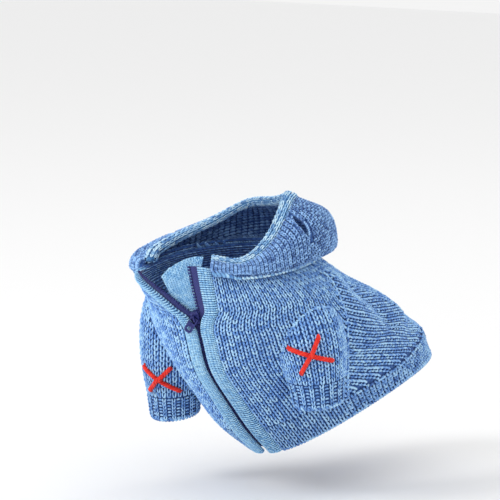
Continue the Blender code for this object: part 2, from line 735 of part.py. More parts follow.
def sleeve_grid(side, start, end, rows, columns, lift):
    alongs = np.linspace(start, end, rows)[:, None]
    angles = (np.arange(columns) * 2 * math.pi / columns)[None, :]
    lift = np.broadcast_to(lift, (rows, columns))
    return sleeve_point(side, alongs, angles, lift)


def make_sleeve(side, name):
    end = cuff_start(side) - SEAM_GAP / sleeve_drop(side)
    half = KNIT_WALL / 2
    outer = sleeve_grid(side, 0.0, end, 8, 24, half)
    inner = sleeve_grid(side, 0.0, end, 8, 24, -half)
    return wall(name, outer, inner, "knit", closed=True)


def make_cuff(side, name):
    start = cuff_start(side)
    columns = 2 * CUFF_RIBS
    rib = np.where(np.arange(columns) % 2 == 0, 0.5, -0.5) * CUFF_RIB_RELIEF
    half = KNIT_WALL / 2
    outer = sleeve_grid(side, start, 1, 2, columns, half + rib)
    inner = sleeve_grid(side, start, 1, 2, columns, -half + rib)
    return wall(name, outer, inner, "knit", closed=True)


def make_arm_cutter(side, name):
    """The room for a foreleg inside one sleeve."""
    rings = sleeve_grid(side, *ARM_ROOM, 12, 24, -KNIT_WALL / 2)
    return helper(loft(name, rings, "knit"))


def make_torso_cutter():
    """All the space that the body's wall closes in, a seam's gap larger."""
    angles = np.linspace(0, 2 * math.pi, 61)[:-1]
    rings = [torso(s, angles, KNIT_WALL / 2 + SEAM_GAP) for s in np.linspace(0.0, 1.0, 19)]
    return helper(loft("torso_cutter", rings, "knit"))


def seam_angle(turn):
    """The angle of the neck seam at a share of the hood's length."""
    left, right = body_span(0.0)
    return left + (right - left) * turn


def hood_profile(turn):
    """The points that the hood's wall passes through at one share of the neck seam."""
    angle = seam_angle(turn)
    reach = float(smooth(HOOD_STATIONS, "reach", turn)) * HOOD_REACH
    height = float(smooth(HOOD_STATIONS, "height", turn)) * HOOD_HEIGHT
    tuck = float(smooth(HOOD_STATIONS, "tuck", turn)) * HOOD_TUCK
    sag = float(smooth(HOOD_STATIONS, "sag", turn)) * HOOD_SAG / BODY_DROP
    base = torso_middle(0.0, angle)
    out = outward(torso_middle, np.array(0.02), np.array(angle))
    out = unit(np.array([out[0], out[1], 0.0]))
    rise = np.array([0, 0, 1.0])
    lap = KNIT_WALL + 2 * SEAM_GAP
    return np.array(
        [
            torso(0.004, angle, lap),
            torso(0.004 + sag * 0.5, angle, lap + reach * 0.05),
            torso(0.006 + sag, angle, lap + reach * 0.35),
            base + out * reach + rise * (height * 0.24 - sag * BODY_DROP * 0.35),
            base + out * (reach * 0.74 - tuck * 0.10) + rise * height * 0.72,
            base - out * tuck + rise * height,
        ]
    )


def along_curve(points, shares):
    """Catmull-Rom points at shares of the curve's length."""
    padded = np.concatenate([[2 * points[0] - points[1]], points, [2 * points[-1] - points[-2]]])
    fine = []
    for i in range(len(points) - 1):
        a, b, c, d = padded[i : i + 4]
        for t in np.linspace(0, 1, 9)[: None if i == len(points) - 2 else -1]:
            square = (2 * a - 5 * b + 4 * c - d) * t**2
            cube = (3 * b - a - 3 * c + d) * t**3
            fine.append((2 * b + (c - a) * t + square + cube) / 2)
    fine = np.array(fine)
    walked = np.concatenate([[0], np.cumsum(np.linalg.norm(np.diff(fine, axis=0), axis=1))])
    at = np.asarray(shares) * walked[-1]
    return np.stack([np.interp(at, walked, fine[:, k]) for k in range(3)], axis=-1)


def hood_normals(grid):
    """Outward normals of a grid of hood points, by its own neighbours."""
    across = np.gradient(grid, axis=0)
    up = np.gradient(grid, axis=1)
    return unit(np.cross(across, up))


def hood_end():
    """Share of the hood's profile where its edge band starts."""
    return 1 - (HOOD_BAND_WIDTH + SEAM_GAP) / (HOOD_HEIGHT + HOOD_REACH + HOOD_TUCK)


def make_hood():
    shares = np.linspace(0, hood_end(), 12)
    grid = np.array([along_curve(hood_profile(t), shares) for t in np.linspace(0, 1, HOOD_COLUMNS)])
    normals = hood_normals(grid)
    hood = wall("hood", grid + normals * KNIT_WALL / 2, grid - normals * KNIT_WALL / 2, "knit")
    for side, name in ((1, "ear_cutter_left"), (-1, "ear_cutter_right")):
        cut(hood, make_ear_cutter(side, name))
    return hood


def make_ear_cutter(side, name):
    """A lens-shaped prism that cuts one ear slot through the hood."""
    turn = EAR_SLOT_TURN if side > 0 else 2 * HOOD_BACK - EAR_SLOT_TURN

    def at(turn, share):
        return along_curve(hood_profile(turn), [share])[0]

    centre = at(turn, EAR_SLOT_AT)
    up = unit(at(turn, EAR_SLOT_AT + 0.1) - at(turn, EAR_SLOT_AT - 0.1))
    forward = unit(at(turn - 0.02 * side, EAR_SLOT_AT) - at(turn + 0.02 * side, EAR_SLOT_AT))
    length = unit(up * math.cos(EAR_SLOT_LEAN) + forward * math.sin(EAR_SLOT_LEAN))
    normal = unit(np.cross(forward, up))
    across = unit(np.cross(normal, length))
    outline = []
    for k in range(EAR_SLOT_SIDES):
        a = 2 * math.pi * k / EAR_SLOT_SIDES
        bulge = math.sin(a) * abs(math.sin(a)) ** EAR_SLOT_BULGE
        outline.append((math.cos(a) * EAR_SLOT_LENGTH / 2, bulge * EAR_SLOT_WIDTH / 2))
    rings = [
        [centre + x * length + y * across + normal * z for x, y in outline]
        for z in (-4 * KNIT_WALL, 4 * KNIT_WALL)
    ]
    return helper(loft(name, rings, "knit"))


def make_hood_band():
    """The ribbed edge of the hood, a flat padded roll along its rim."""
    section = rounded(HOOD_BAND_WIDTH, HOOD_BAND_THICKNESS)
    shares = np.array([hood_end(), 1.0])
    grid = np.array([along_curve(hood_profile(t), shares) for t in np.linspace(0, 1, HOOD_COLUMNS)])
    rim = grid[:, 0]
    inward = unit(grid[:, 1] - grid[:, 0])
    along = unit(np.gradient(rim, axis=0))
    normal = unit(np.cross(along, inward))
    middle = rim + inward * (HOOD_BAND_WIDTH / 2 + SEAM_GAP)
    rings = [
        [m + i * a + n * h for a, h in section]
        for m, i, n in zip(middle, inward, normal)
    ]
    return loft("hood_band", rings, "light_knit")


def make_cross(cross, name):
    """One crossed pair of yarn strands on a sleeve; the second strand passes over the first."""
    made = []
    strands = (
        (cross.lean_a, cross.length_a, 0.0, "under"),
        (cross.lean_b, cross.length_b, 1.0, "over"),
    )
    for lean, length, over, label in strands:
        rings = []
        reach = CROSS_SPAN * length / 2
        for t in np.linspace(-1, 1, 9):
            across = t * reach * math.cos(math.radians(lean))
            rise = t * reach * math.sin(math.radians(lean))
            along = cross.along - rise / (sleeve_drop(cross.side) - SLEEVE_HEAD_DROP)
            radius = float(smooth(SLEEVE_RINGS, "radius", along)) * SLEEVE_RADIUS
            angle = math.radians(cross.turn) + across / radius
            hump = over * (CROSS_YARN * 0.9 + SEAM_GAP) * math.exp(-((t / 0.3) ** 2))
            taper = 1 - CROSS_END_TAPER * (abs(t) > 0.99)
            lift = KNIT_WALL / 2 + SEAM_GAP + CROSS_YARN * 0.45 + hump
            centre = sleeve_point(cross.side, along, angle, lift)
            rings.append((centre, taper, angle, along))
        centres = np.array([r[0] for r in rings])
        tangents = unit(np.gradient(centres, axis=0))
        solid = []
        for (centre, size, angle, along), tangent in zip(rings, tangents):
            out = unit(
                sleeve_point(cross.side, along, angle, 0.01) - sleeve_point(cross.side, along, angle)
            )
            side = unit(np.cross(tangent, out))
            out = np.cross(side, tangent)
            solid.append(
                [
                    centre + size * CROSS_YARN / 2 * (math.cos(a) * side + 0.9 * math.sin(a) * out)
                    for a in (np.arange(6) + 0.5) * math.pi / 3
                ]
            )
        made.append(loft(f"{name}_{label}", solid, "red_yarn"))
    return made


def build():
    for old in list(bpy.data.objects):
        bpy.data.objects.remove(old)
    torso_cutter = make_torso_cutter()
    body = make_body()
    make_hem()
    for side, word in ((1, "left"), (-1, "right")):
        cut(body, make_arm_cutter(side, f"arm_cutter_{word}"))
        cut(make_sleeve(side, f"sleeve_{word}"), torso_cutter)
        cut(make_cuff(side, f"cuff_{word}"), torso_cutter)
        make_band(side, f"zip_band_{word}")
        make_tape(side, f"zip_tape_{word}")
    make_guard()
    make_slider()
    make_pull()
    make_hood()
    make_hood_band()
    for cross in CROSSES:
        make_cross(cross, f"cross_{'left' if cross.side > 0 else 'right'}")


build()
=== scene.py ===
"""The looks of a knitted zip-up dog hoodie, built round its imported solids.

Metres, +Z up. The wearer would face -Y, and its left side is +X.
"""

import logging
import math
from collections.abc import Callable, Sequence
from dataclasses import dataclass, field
from enum import Enum
from typing import NamedTuple

import bpy
import numpy as np
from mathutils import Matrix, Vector
from mathutils.bvhtree import BVHTree

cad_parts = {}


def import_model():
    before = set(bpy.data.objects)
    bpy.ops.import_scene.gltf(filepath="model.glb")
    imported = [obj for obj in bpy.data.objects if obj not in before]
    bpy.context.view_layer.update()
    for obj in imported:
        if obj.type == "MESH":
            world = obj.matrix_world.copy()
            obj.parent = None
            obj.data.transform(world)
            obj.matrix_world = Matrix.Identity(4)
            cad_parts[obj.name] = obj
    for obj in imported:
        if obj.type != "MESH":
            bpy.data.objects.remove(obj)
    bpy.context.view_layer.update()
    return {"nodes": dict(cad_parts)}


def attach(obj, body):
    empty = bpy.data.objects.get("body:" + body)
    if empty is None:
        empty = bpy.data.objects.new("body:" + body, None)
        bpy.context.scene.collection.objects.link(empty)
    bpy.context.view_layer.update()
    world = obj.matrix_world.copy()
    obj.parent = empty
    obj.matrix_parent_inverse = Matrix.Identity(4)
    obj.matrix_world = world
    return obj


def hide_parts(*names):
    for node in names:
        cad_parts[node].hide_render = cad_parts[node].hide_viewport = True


log = logging.getLogger("dog_hoodie")

Array = np.ndarray
Colour = tuple[float, float, float]

HOODIE = "hoodie"
STEP = 1e-4
LOOP_LIFT = 0.0010  # of the yarn's middle over a fabric
LINING_LIFT = 0.0014  # the same on its inner face
GROUND_UNDER = -0.0012  # of a ground's inner face
EDGE_YARN = 0.0022
EDGE_LIFT = 0.0004


class Side(Enum):
    """A side of the wearer, with the sign that its X has."""

    LEFT = 1
    RIGHT = -1

    @property
    def word(self) -> str:
        """The side's word, as the nodes' names have it."""
        return self.name.lower()


class Roll(Enum):
    """How the loops of a rolled band lie."""

    WALES = "a few chunky wales along it"
    RIBS = "fine ribs across it"


class Stitch(Enum):
    """How a column of loops shows on the face of the knit."""

    KNIT = "two leaning legs"
    PURL = "one low bar"


def unit(v: Array) -> Array:
    """Vectors of length one, along the last axis."""
    return v / np.maximum(np.linalg.norm(v, axis=-1, keepdims=True), 1e-12)


def eased(share: Array | float) -> Array | float:
    """A smooth step from 0 to 1."""
    share = np.clip(share, 0.0, 1.0)
    return share * share * (3 - 2 * share)


def swell(angle: Array | float, centre: float, width: float) -> Array:
    """A smooth hump round one angle, 1 at its top."""
    away = np.mod(angle - centre + math.pi, 2 * math.pi) - math.pi
    return np.exp(-((away / width) ** 2))


def smooth(table: Sequence[NamedTuple], column: str, at: Array | float) -> Array:
    """Reads a smooth curve through one column of a table.

    Args:
        table: Rows whose first column is the share that they stand at.
        column: The column that is read.
        at: The shares to read it at.

    Returns:
        The column's values there.
    """
    x = np.array([row[0] for row in table], float)
    y = np.array([getattr(row, column) for row in table], float)
    slope = np.gradient(y, x)
    at = np.clip(np.asarray(at, float), x[0], x[-1])
    i = np.clip(np.searchsorted(x, at, side="right") - 1, 0, len(x) - 2)
    span = x[i + 1] - x[i]
    t = (at - x[i]) / span
    ends = (2 * t**3 - 3 * t**2 + 1) * y[i] + (3 * t**2 - 2 * t**3) * y[i + 1]
    return ends + ((t**3 - 2 * t**2 + t) * slope[i] + (t**3 - t**2) * slope[i + 1]) * span


def along_curve(points: Array, shares: Array) -> Array:
    """Reads a smooth curve through a few points.

    Args:
        points: The points that it passes through.
        shares: Shares of its length.

    Returns:
        One point for each share.
    """
    padded = np.concatenate([[2 * points[0] - points[1]], points, [2 * points[-1] - points[-2]]])
    fine = []
    for i in range(len(points) - 1):
        a, b, c, d = padded[i : i + 4]
        for t in np.linspace(0, 1, 9)[: None if i == len(points) - 2 else -1]:
            square = (2 * a - 5 * b + 4 * c - d) * t**2
            cube = (3 * b - a - 3 * c + d) * t**3
            fine.append((2 * b + (c - a) * t + square + cube) / 2)
    fine = np.array(fine)
    walked = np.concatenate([[0], np.cumsum(np.linalg.norm(np.diff(fine, axis=0), axis=1))])
    at = np.asarray(shares) * walked[-1]
    return np.stack([np.interp(at, walked, fine[:, k]) for k in range(3)], axis=-1)


class Section(NamedTuple):
    """One ring of the body; y in shares of its reach, z of its drop, widths of its width."""

    along: float
    front_y: float
    front_z: float
    back_y: float
    back_z: float
    half_width: float
    taper: float
    twist: float


class Fold(NamedTuple):
    """A soft fold from a to b; turn is a share of the half turn from the zip to the back."""

    side: int
    along_a: float
    turn_a: float
    along_b: float
    turn_b: float
    width: float
    depth: float


SECTIONS = [
    Section(0.00, -0.285, -0.030, 0.285, 0.050, 0.315, 0.35, 0.00),
    Section(0.12, -0.292, -0.130, 0.340, -0.030, 0.430, 0.45, 0.45),
    Section(0.30, -0.261, -0.320, 0.446, -0.130, 0.485, 0.55, 0.80),
    Section(0.50, -0.204, -0.520, 0.655, -0.240, 0.485, 0.80, 0.80),
    Section(0.70, -0.108, -0.710, 0.822, -0.355, 0.465, 1.00, 1.12),
    Section(0.86, 0.005, -0.890, 0.945, -0.478, 0.435, 1.00, 1.25),
    Section(1.00, 0.153, -1.030, 1.030, -0.625, 0.400, 0.80, 0.70),
]
FOLDS = [
    Fold(+1, 0.18, 0.72, 0.62, 0.60, 0.75, -0.80),
    Fold(+1, 0.14, 0.60, 0.58, 0.50, 0.80, 0.45),
    Fold(+1, 0.20, 0.84, 0.66, 0.72, 0.80, 0.55),
    Fold(+1, 0.56, 0.95, 0.80, 0.60, 0.85, -0.45),
    Fold(+1, 0.86, 0.98, 0.86, 0.30, 0.70, 0.42),
    Fold(-1, 0.20, 0.72, 0.60, 0.60, 0.80, -0.60),
    Fold(-1, 0.24, 0.84, 0.66, 0.72, 0.80, 0.45),
    Fold(-1, 0.86, 0.98, 0.86, 0.30, 0.70, 0.42),
]


@dataclass(frozen=True)
class BodyForm:
    """The worn form of the body: a tube round the chest that every other piece follows."""

    reach: float = 0.190
    drop: float = 0.133
    width: float = 0.150
    brisket_taper: float = 0.25
    zip_twist: float = math.radians(8.5)
    squareness: float = 2.10
    collar_flare: float = 0.019
    collar_rise: float = 0.0075
    collar_fall: float = 0.0050
    flare_angle: float = math.radians(-52)
    flare_width: float = math.radians(48)
    rise_angle: float = math.radians(12)
    rise_width: float = math.radians(30)
    fall_angle: float = math.radians(-62)
    fall_width: float = math.radians(26)
    fold_depth: float = 0.0045
    fold_width: float = 0.010
    hem_share: float = 0.150
    hem_arch: float = 0.014
    arch_from: float = 0.50
    slider_at: float = 0.225
    spread_left: float = 0.006
    spread_right: float = 0.047
    wedge: float = 0.0015
    band_width: float = 0.0090
    gap_closed: float = 0.0021
    gap_open: float = 0.0080
    seam_gap: float = 0.0003
    back_turn: float = 0.73
    front_turn: float = 0.62
    seam_neck_turn: float = 0.606
    seam_lean: float = 0.333
    flank_turn: float = 0.30
    flank_lap: float = 0.02
    flank_from: float = -0.84
    flank_shear: float = 1.9
    collar_power: float = 1.5
    spread_power: float = 1.1
    wedge_share: float = 0.12
    gap_from: float = 0.07
    gap_run: float = 0.12
    fold_reach: tuple[float, float] = (1.2, 1.3)

    def foot(self) -> float:
        """Share of the body where the hem starts."""
        return 1 - self.hem_share

    def middle(self, along: Array | float, angle: Array | float) -> Array:
        """The knitted wall's middle, before folds.

        Args:
            along: Share of the way from the neck (0) to the hem (1).
            angle: Angle round the body, 0 at the zip and pi at the back.

        Returns:
            Points, in metres.
        """
        along, angle = np.broadcast_arrays(np.asarray(along, float), np.asarray(angle, float))
        share = np.clip(along, 0.0, 1.0)
        front_y = smooth(SECTIONS, "front_y", share) * self.reach
        front_z = smooth(SECTIONS, "front_z", share) * self.drop
        back_y = smooth(SECTIONS, "back_y", share) * self.reach
        back_z = smooth(SECTIONS, "back_z", share) * self.drop
        half = smooth(SECTIONS, "half_width", share) * self.width
        taper = smooth(SECTIONS, "taper", share) * self.brisket_taper
        turned = angle + smooth(SECTIONS, "twist", share) * self.zip_twist
        cos, sin = np.cos(turned), np.sin(turned)
        power = 2 / self.squareness
        side = np.sign(sin) * np.abs(sin) ** power * (1 - taper * ((1 + cos) / 2) ** 2)
        depth = (1 - np.sign(cos) * np.abs(cos) ** power) / 2
        y = front_y + (back_y - front_y) * depth
        arch = self.hem_arch * np.clip((share - self.arch_from) / (1 - self.arch_from), 0.0, 1.0) ** 2
        z = front_z + (back_z - front_z) * depth - (along - share) * self.drop + arch * sin**2
        fade = np.clip((self.slider_at - along) / self.slider_at, 0.0, 1.0) ** self.collar_power
        flare = self.collar_flare * fade * swell(angle, self.flare_angle, self.flare_width)
        z = z + self.collar_rise * fade * swell(angle, self.rise_angle, self.rise_width)
        z = z - self.collar_fall * fade * swell(angle, self.fall_angle, self.fall_width)
        x = half * side + flare * math.sin(self.flare_angle)
        return np.stack([x, y - flare * math.cos(self.flare_angle), z], axis=-1)

    def normal(self, along: Array | float, angle: Array | float) -> Array:
        """Unit normals of the middle surface, away from the wearer.

        Args:
            along: Share of the way from the neck (0) to the hem (1).
            angle: Angle round the body, 0 at the zip and pi at the back.

        Returns:
            One normal for each place.
        """
        across = self.middle(along, angle + STEP) - self.middle(along, angle - STEP)
        down = self.middle(along + STEP, angle) - self.middle(along - STEP, angle)
        return unit(np.cross(down, across))

    def fold_height(self, along: Array, angle: Array) -> Array:
        """How far the soft folds raise the wall.

        Args:
            along: Share of the way from the neck (0) to the hem (1).
            angle: Angle round the body, 0 at the zip and pi at the back.

        Returns:
            Heights, in metres.
        """
        turn = np.mod(angle, 2 * math.pi) / math.pi
        side = np.where(turn > 1, -1, 1)
        turn = np.where(turn > 1, 2 - turn, turn)
        scale = np.array([self.drop * self.fold_reach[0], self.width * self.fold_reach[1]])
        height = np.zeros(np.broadcast(along, angle).shape)
        for fold in FOLDS:
            a = np.array([fold.along_a, fold.turn_a]) * scale
            b = np.array([fold.along_b, fold.turn_b]) * scale
            p = np.stack(np.broadcast_arrays(along * scale[0], turn * scale[1]), axis=-1)
            t = np.clip(((p - a) @ (b - a)) / ((b - a) @ (b - a)), 0, 1)
            far = np.linalg.norm(p - a - t[..., None] * (b - a), axis=-1)
            wave = np.exp(-((far / (fold.width * self.fold_width)) ** 2))
            height += np.where(side == fold.side, wave * fold.depth * self.fold_depth, 0)
        return height

    def wall(self, along: Array | float, angle: Array | float, lift: Array | float = 0.0) -> Array:
        """Points of the folded wall, `lift` metres outside its middle.

        Args:
            along: Share of the way from the neck (0) to the hem (1).
            angle: Angle round the body, 0 at the zip and pi at the back.
            lift: Height over the middle.

        Returns:
            Points, in metres.
        """
        along, angle = np.asarray(along, float), np.asarray(angle, float)
        height = self.fold_height(along, angle) + lift
        return self.middle(along, angle) + self.normal(along, angle) * np.asarray(height)[..., None]

    def rings(self, lift: float) -> Array:
        """Closed rings of the whole wall from the neck to the hem, `lift` metres outside it."""
        angles = np.linspace(0, 2 * math.pi, 121)[:-1]
        return np.array([self.wall(s, angles, lift) for s in np.linspace(0, 1, 40)])

    def angle_at(self, along: float, arc: float) -> float:
        """The angle that lies `arc` metres from the zip's middle line round one ring.

        Args:
            along: Share of the way from the neck (0) to the hem (1).
            arc: Signed length round the ring.

        Returns:
            The angle, with the arc's sign.
        """
        angles = np.linspace(0, math.pi, 241)
        ring = self.middle(along, angles)
        walked = np.concatenate([[0], np.cumsum(np.linalg.norm(np.diff(ring, axis=0), axis=1))])
        return math.copysign(float(np.interp(abs(arc), walked, angles)), arc)

    def zip_edge(self, side: Side, along: float) -> float:
        """Signed arc from the middle line to one side's row of teeth.

        Args:
            side: The wearer's side.
            along: Share of the way from the neck (0) to the hem (1).

        Returns:
            The arc, in metres.
        """
        spread = self.spread_left if side is Side.LEFT else self.spread_right
        share = max(0.0, (self.slider_at - along) / self.slider_at)
        wedge = self.wedge * min(1.0, share / self.wedge_share)
        return side.value * (spread * share**self.spread_power + wedge)

    def band_gap(self, along: float) -> float:
        """From the row of teeth to the edge band."""
        share = eased((self.slider_at + self.gap_from - along) / self.gap_run)
        return self.gap_closed + (self.gap_open - self.gap_closed) * float(share)

    def strip(self, side: Side, along: float, arc: float, lift: float) -> Array:
        """A point `arc` metres out from one side's row of teeth."""
        angle = self.angle_at(along, self.zip_edge(side, along) + side.value * arc)
        return self.wall(along, angle, lift)

    def span(self, along: float) -> tuple[float, float]:
        """The two angles between which the body's wall runs at one ring.

        Args:
            along: Share of the way from the neck (0) to the hem (1).

        Returns:
            The left and the right angle.
        """
        reach = self.band_gap(along) + self.band_width + self.seam_gap
        left = self.angle_at(along, self.zip_edge(Side.LEFT, along) + reach)
        right = self.angle_at(along, self.zip_edge(Side.RIGHT, along) - reach)
        return left, 2 * math.pi + right

    def fabric(self, start: float, end: float, rows: int, columns: int) -> "Fabric":
        """The body's wall between two rings, as a fabric marked with its place on the body."""
        return self.panel(np.linspace(start, end, rows), columns, -math.inf, math.inf)

    def panel(self, alongs: Array, columns: int, first: float, last: float) -> "Fabric":
        """The wall between two angles, or up to the zip's bands where those come first.

        Args:
            alongs: The rings, as shares of the way from the neck to the hem.
            columns: Points across it.
            first: The least angle.
            last: The greatest angle.

        Returns:
            The fabric, marked with its place on the body.
        """
        grid, marks = [], []
        for along in alongs:
            left, right = self.span(along)
            angles = np.linspace(max(left, first), min(right, last), columns)
            grid.append(self.wall(along, angles))
            marks.append(np.stack([np.full(columns, along), angles / math.pi], axis=-1))
        return Fabric(np.array(grid), marks=np.array(marks))

    def seam_turn(self, along: Array) -> Array:
        """Where the side seam runs, as a share of the half turn from the zip to the back."""
        return self.seam_neck_turn - self.seam_lean * along

    def front(self, side: Side, rows: int, columns: int) -> "Fabric":
        """One front panel, whose wales run down beside the zip.

        Args:
            side: The wearer's side.
            rows: Points down it.
            columns: Points across it.

        Returns:
            The fabric, marked with its place on the body.
        """
        alongs = np.linspace(0.0, self.foot(), rows)
        if side is Side.LEFT:
            return self.panel(alongs, columns, -math.inf, self.front_turn * math.pi)
        return self.panel(alongs, columns, (2 - self.front_turn) * math.pi, math.inf)

    def flank(self, side: Side, rows: int, columns: int) -> "Fabric":
        """One side panel, whose wales run level from the side seam to the back.

        Args:
            side: The wearer's side.
            rows: Points along its wales.
            columns: Points across them.

        Returns:
            The fabric, marked with its place on the body.
        """
        turns = np.linspace(self.flank_turn, self.back_turn + self.flank_lap, rows)[:, None]
        along = np.linspace(self.flank_from, self.foot(), columns)[None, :]
        along = along + self.flank_shear * (turns - self.flank_turn)
        along, turns = np.broadcast_arrays(along, turns)
        points = self.wall(along, side.value * turns * math.pi)
        return Fabric(points, flipped=side is Side.LEFT, marks=np.stack([along, turns], axis=-1))

    def back(self, rows: int, columns: int) -> "Fabric":
        """The back panel, whose wales run down the spine.

        Args:
            rows: Points down it.
            columns: Points across it.

        Returns:
            The fabric, marked with its place.
        """
        turns = np.linspace(self.back_turn, 2 - self.back_turn, columns)[None, :]
        along, turns = np.broadcast_arrays(np.linspace(0, self.foot(), rows)[:, None], turns)
        return Fabric(self.wall(along, turns * math.pi), marks=np.stack([along, turns], axis=-1))


class Fabric:
    """A curved cloth surface, known by a fine grid and read at any share of its two ways."""

    def __init__(self, points: Array, closed: bool = False, flipped: bool = False,
                 marks: Array | None = None) -> None:
        """Takes the surface's grid.

        Args:
            points: Grid of points; rows run down the wales and columns across them.
            closed: Whether the last column meets the first.
            flipped: Whether the grid's own normals point inwards.
            marks: Where each point lies on the body, as (along, turn).
        """
        self.marks = np.zeros((*points.shape[:2], 2)) if marks is None else marks
        self.points = np.concatenate([points, points[:, :1]], axis=1) if closed else points
        self.closed = closed
        across = np.gradient(self.points, axis=1)
        if closed:
            seam = (self.points[:, 1] - self.points[:, -2]) / 2
            across[:, 0], across[:, -1] = seam, seam
        down = np.gradient(self.points, axis=0)
        self.normals = unit(np.cross(down, across)) * (-1 if flipped else 1)
        if closed:
            self.marks = np.concatenate([self.marks, self.marks[:, :1]], axis=1)

    def read(self, down: Array, across: Array) -> tuple[Array, Array]:
        """Points and outward normals at shares of the two ways.

        Args:
            down: Shares from the first row to the last.
            across: Shares from the first column to the last.

        Returns:
            The points and the unit normals there.
        """
        return self._mixed(self.points, down, across), unit(self._mixed(self.normals, down, across))

    def mark(self, down: Array, across: Array) -> Array:
        """The (along, turn) marks at shares of the two ways."""
        return self._mixed(self.marks, down, across)

    def _mixed(self, grid: Array, down: Array, across: Array) -> Array:
        """A grid's values, mixed from the four nearest.

        Args:
            grid: Values on the surface's grid.
            down: Shares down it.
            across: Shares across it.

        Returns:
            The values there.
        """
        rows, columns = grid.shape[:2]
        across = np.mod(across, 1.0) if self.closed else np.clip(across, 0.0, 1.0)
        r = np.clip(down, 0.0, 1.0) * (rows - 1)
        c = across * (columns - 1)
        i = np.minimum(r.astype(int), rows - 2)
        j = np.minimum(c.astype(int), columns - 2)
        s, t = (r - i)[..., None], (c - j)[..., None]
        top = grid[i, j] * (1 - t) + grid[i, j + 1] * t
        low = grid[i + 1, j] * (1 - t) + grid[i + 1, j + 1] * t
        return top * (1 - s) + low * s

    def snapped(self, points: Array) -> tuple[Array, Array]:
        """The surface's nearest points to some others, and its normals there.

        Args:
            points: (n, 3) points near the surface.

        Returns:
            The points on it, and the normals.
        """
        at = []
        flat = self.points.reshape(-1, 3)
        for p in points:
            near = np.argsort(((flat - p) ** 2).sum(axis=1))[:4]
            weight = 1 / (np.linalg.norm(flat[near] - p, axis=1) + 1e-5)
            weight /= weight.sum()
            normal = unit(self.normals.reshape(-1, 3)[near].T @ weight)
            foot = flat[near].T @ weight
            at.append((p - normal * ((p - foot) @ normal), normal))
        return np.array([a for a, _ in at]), np.array([n for _, n in at])


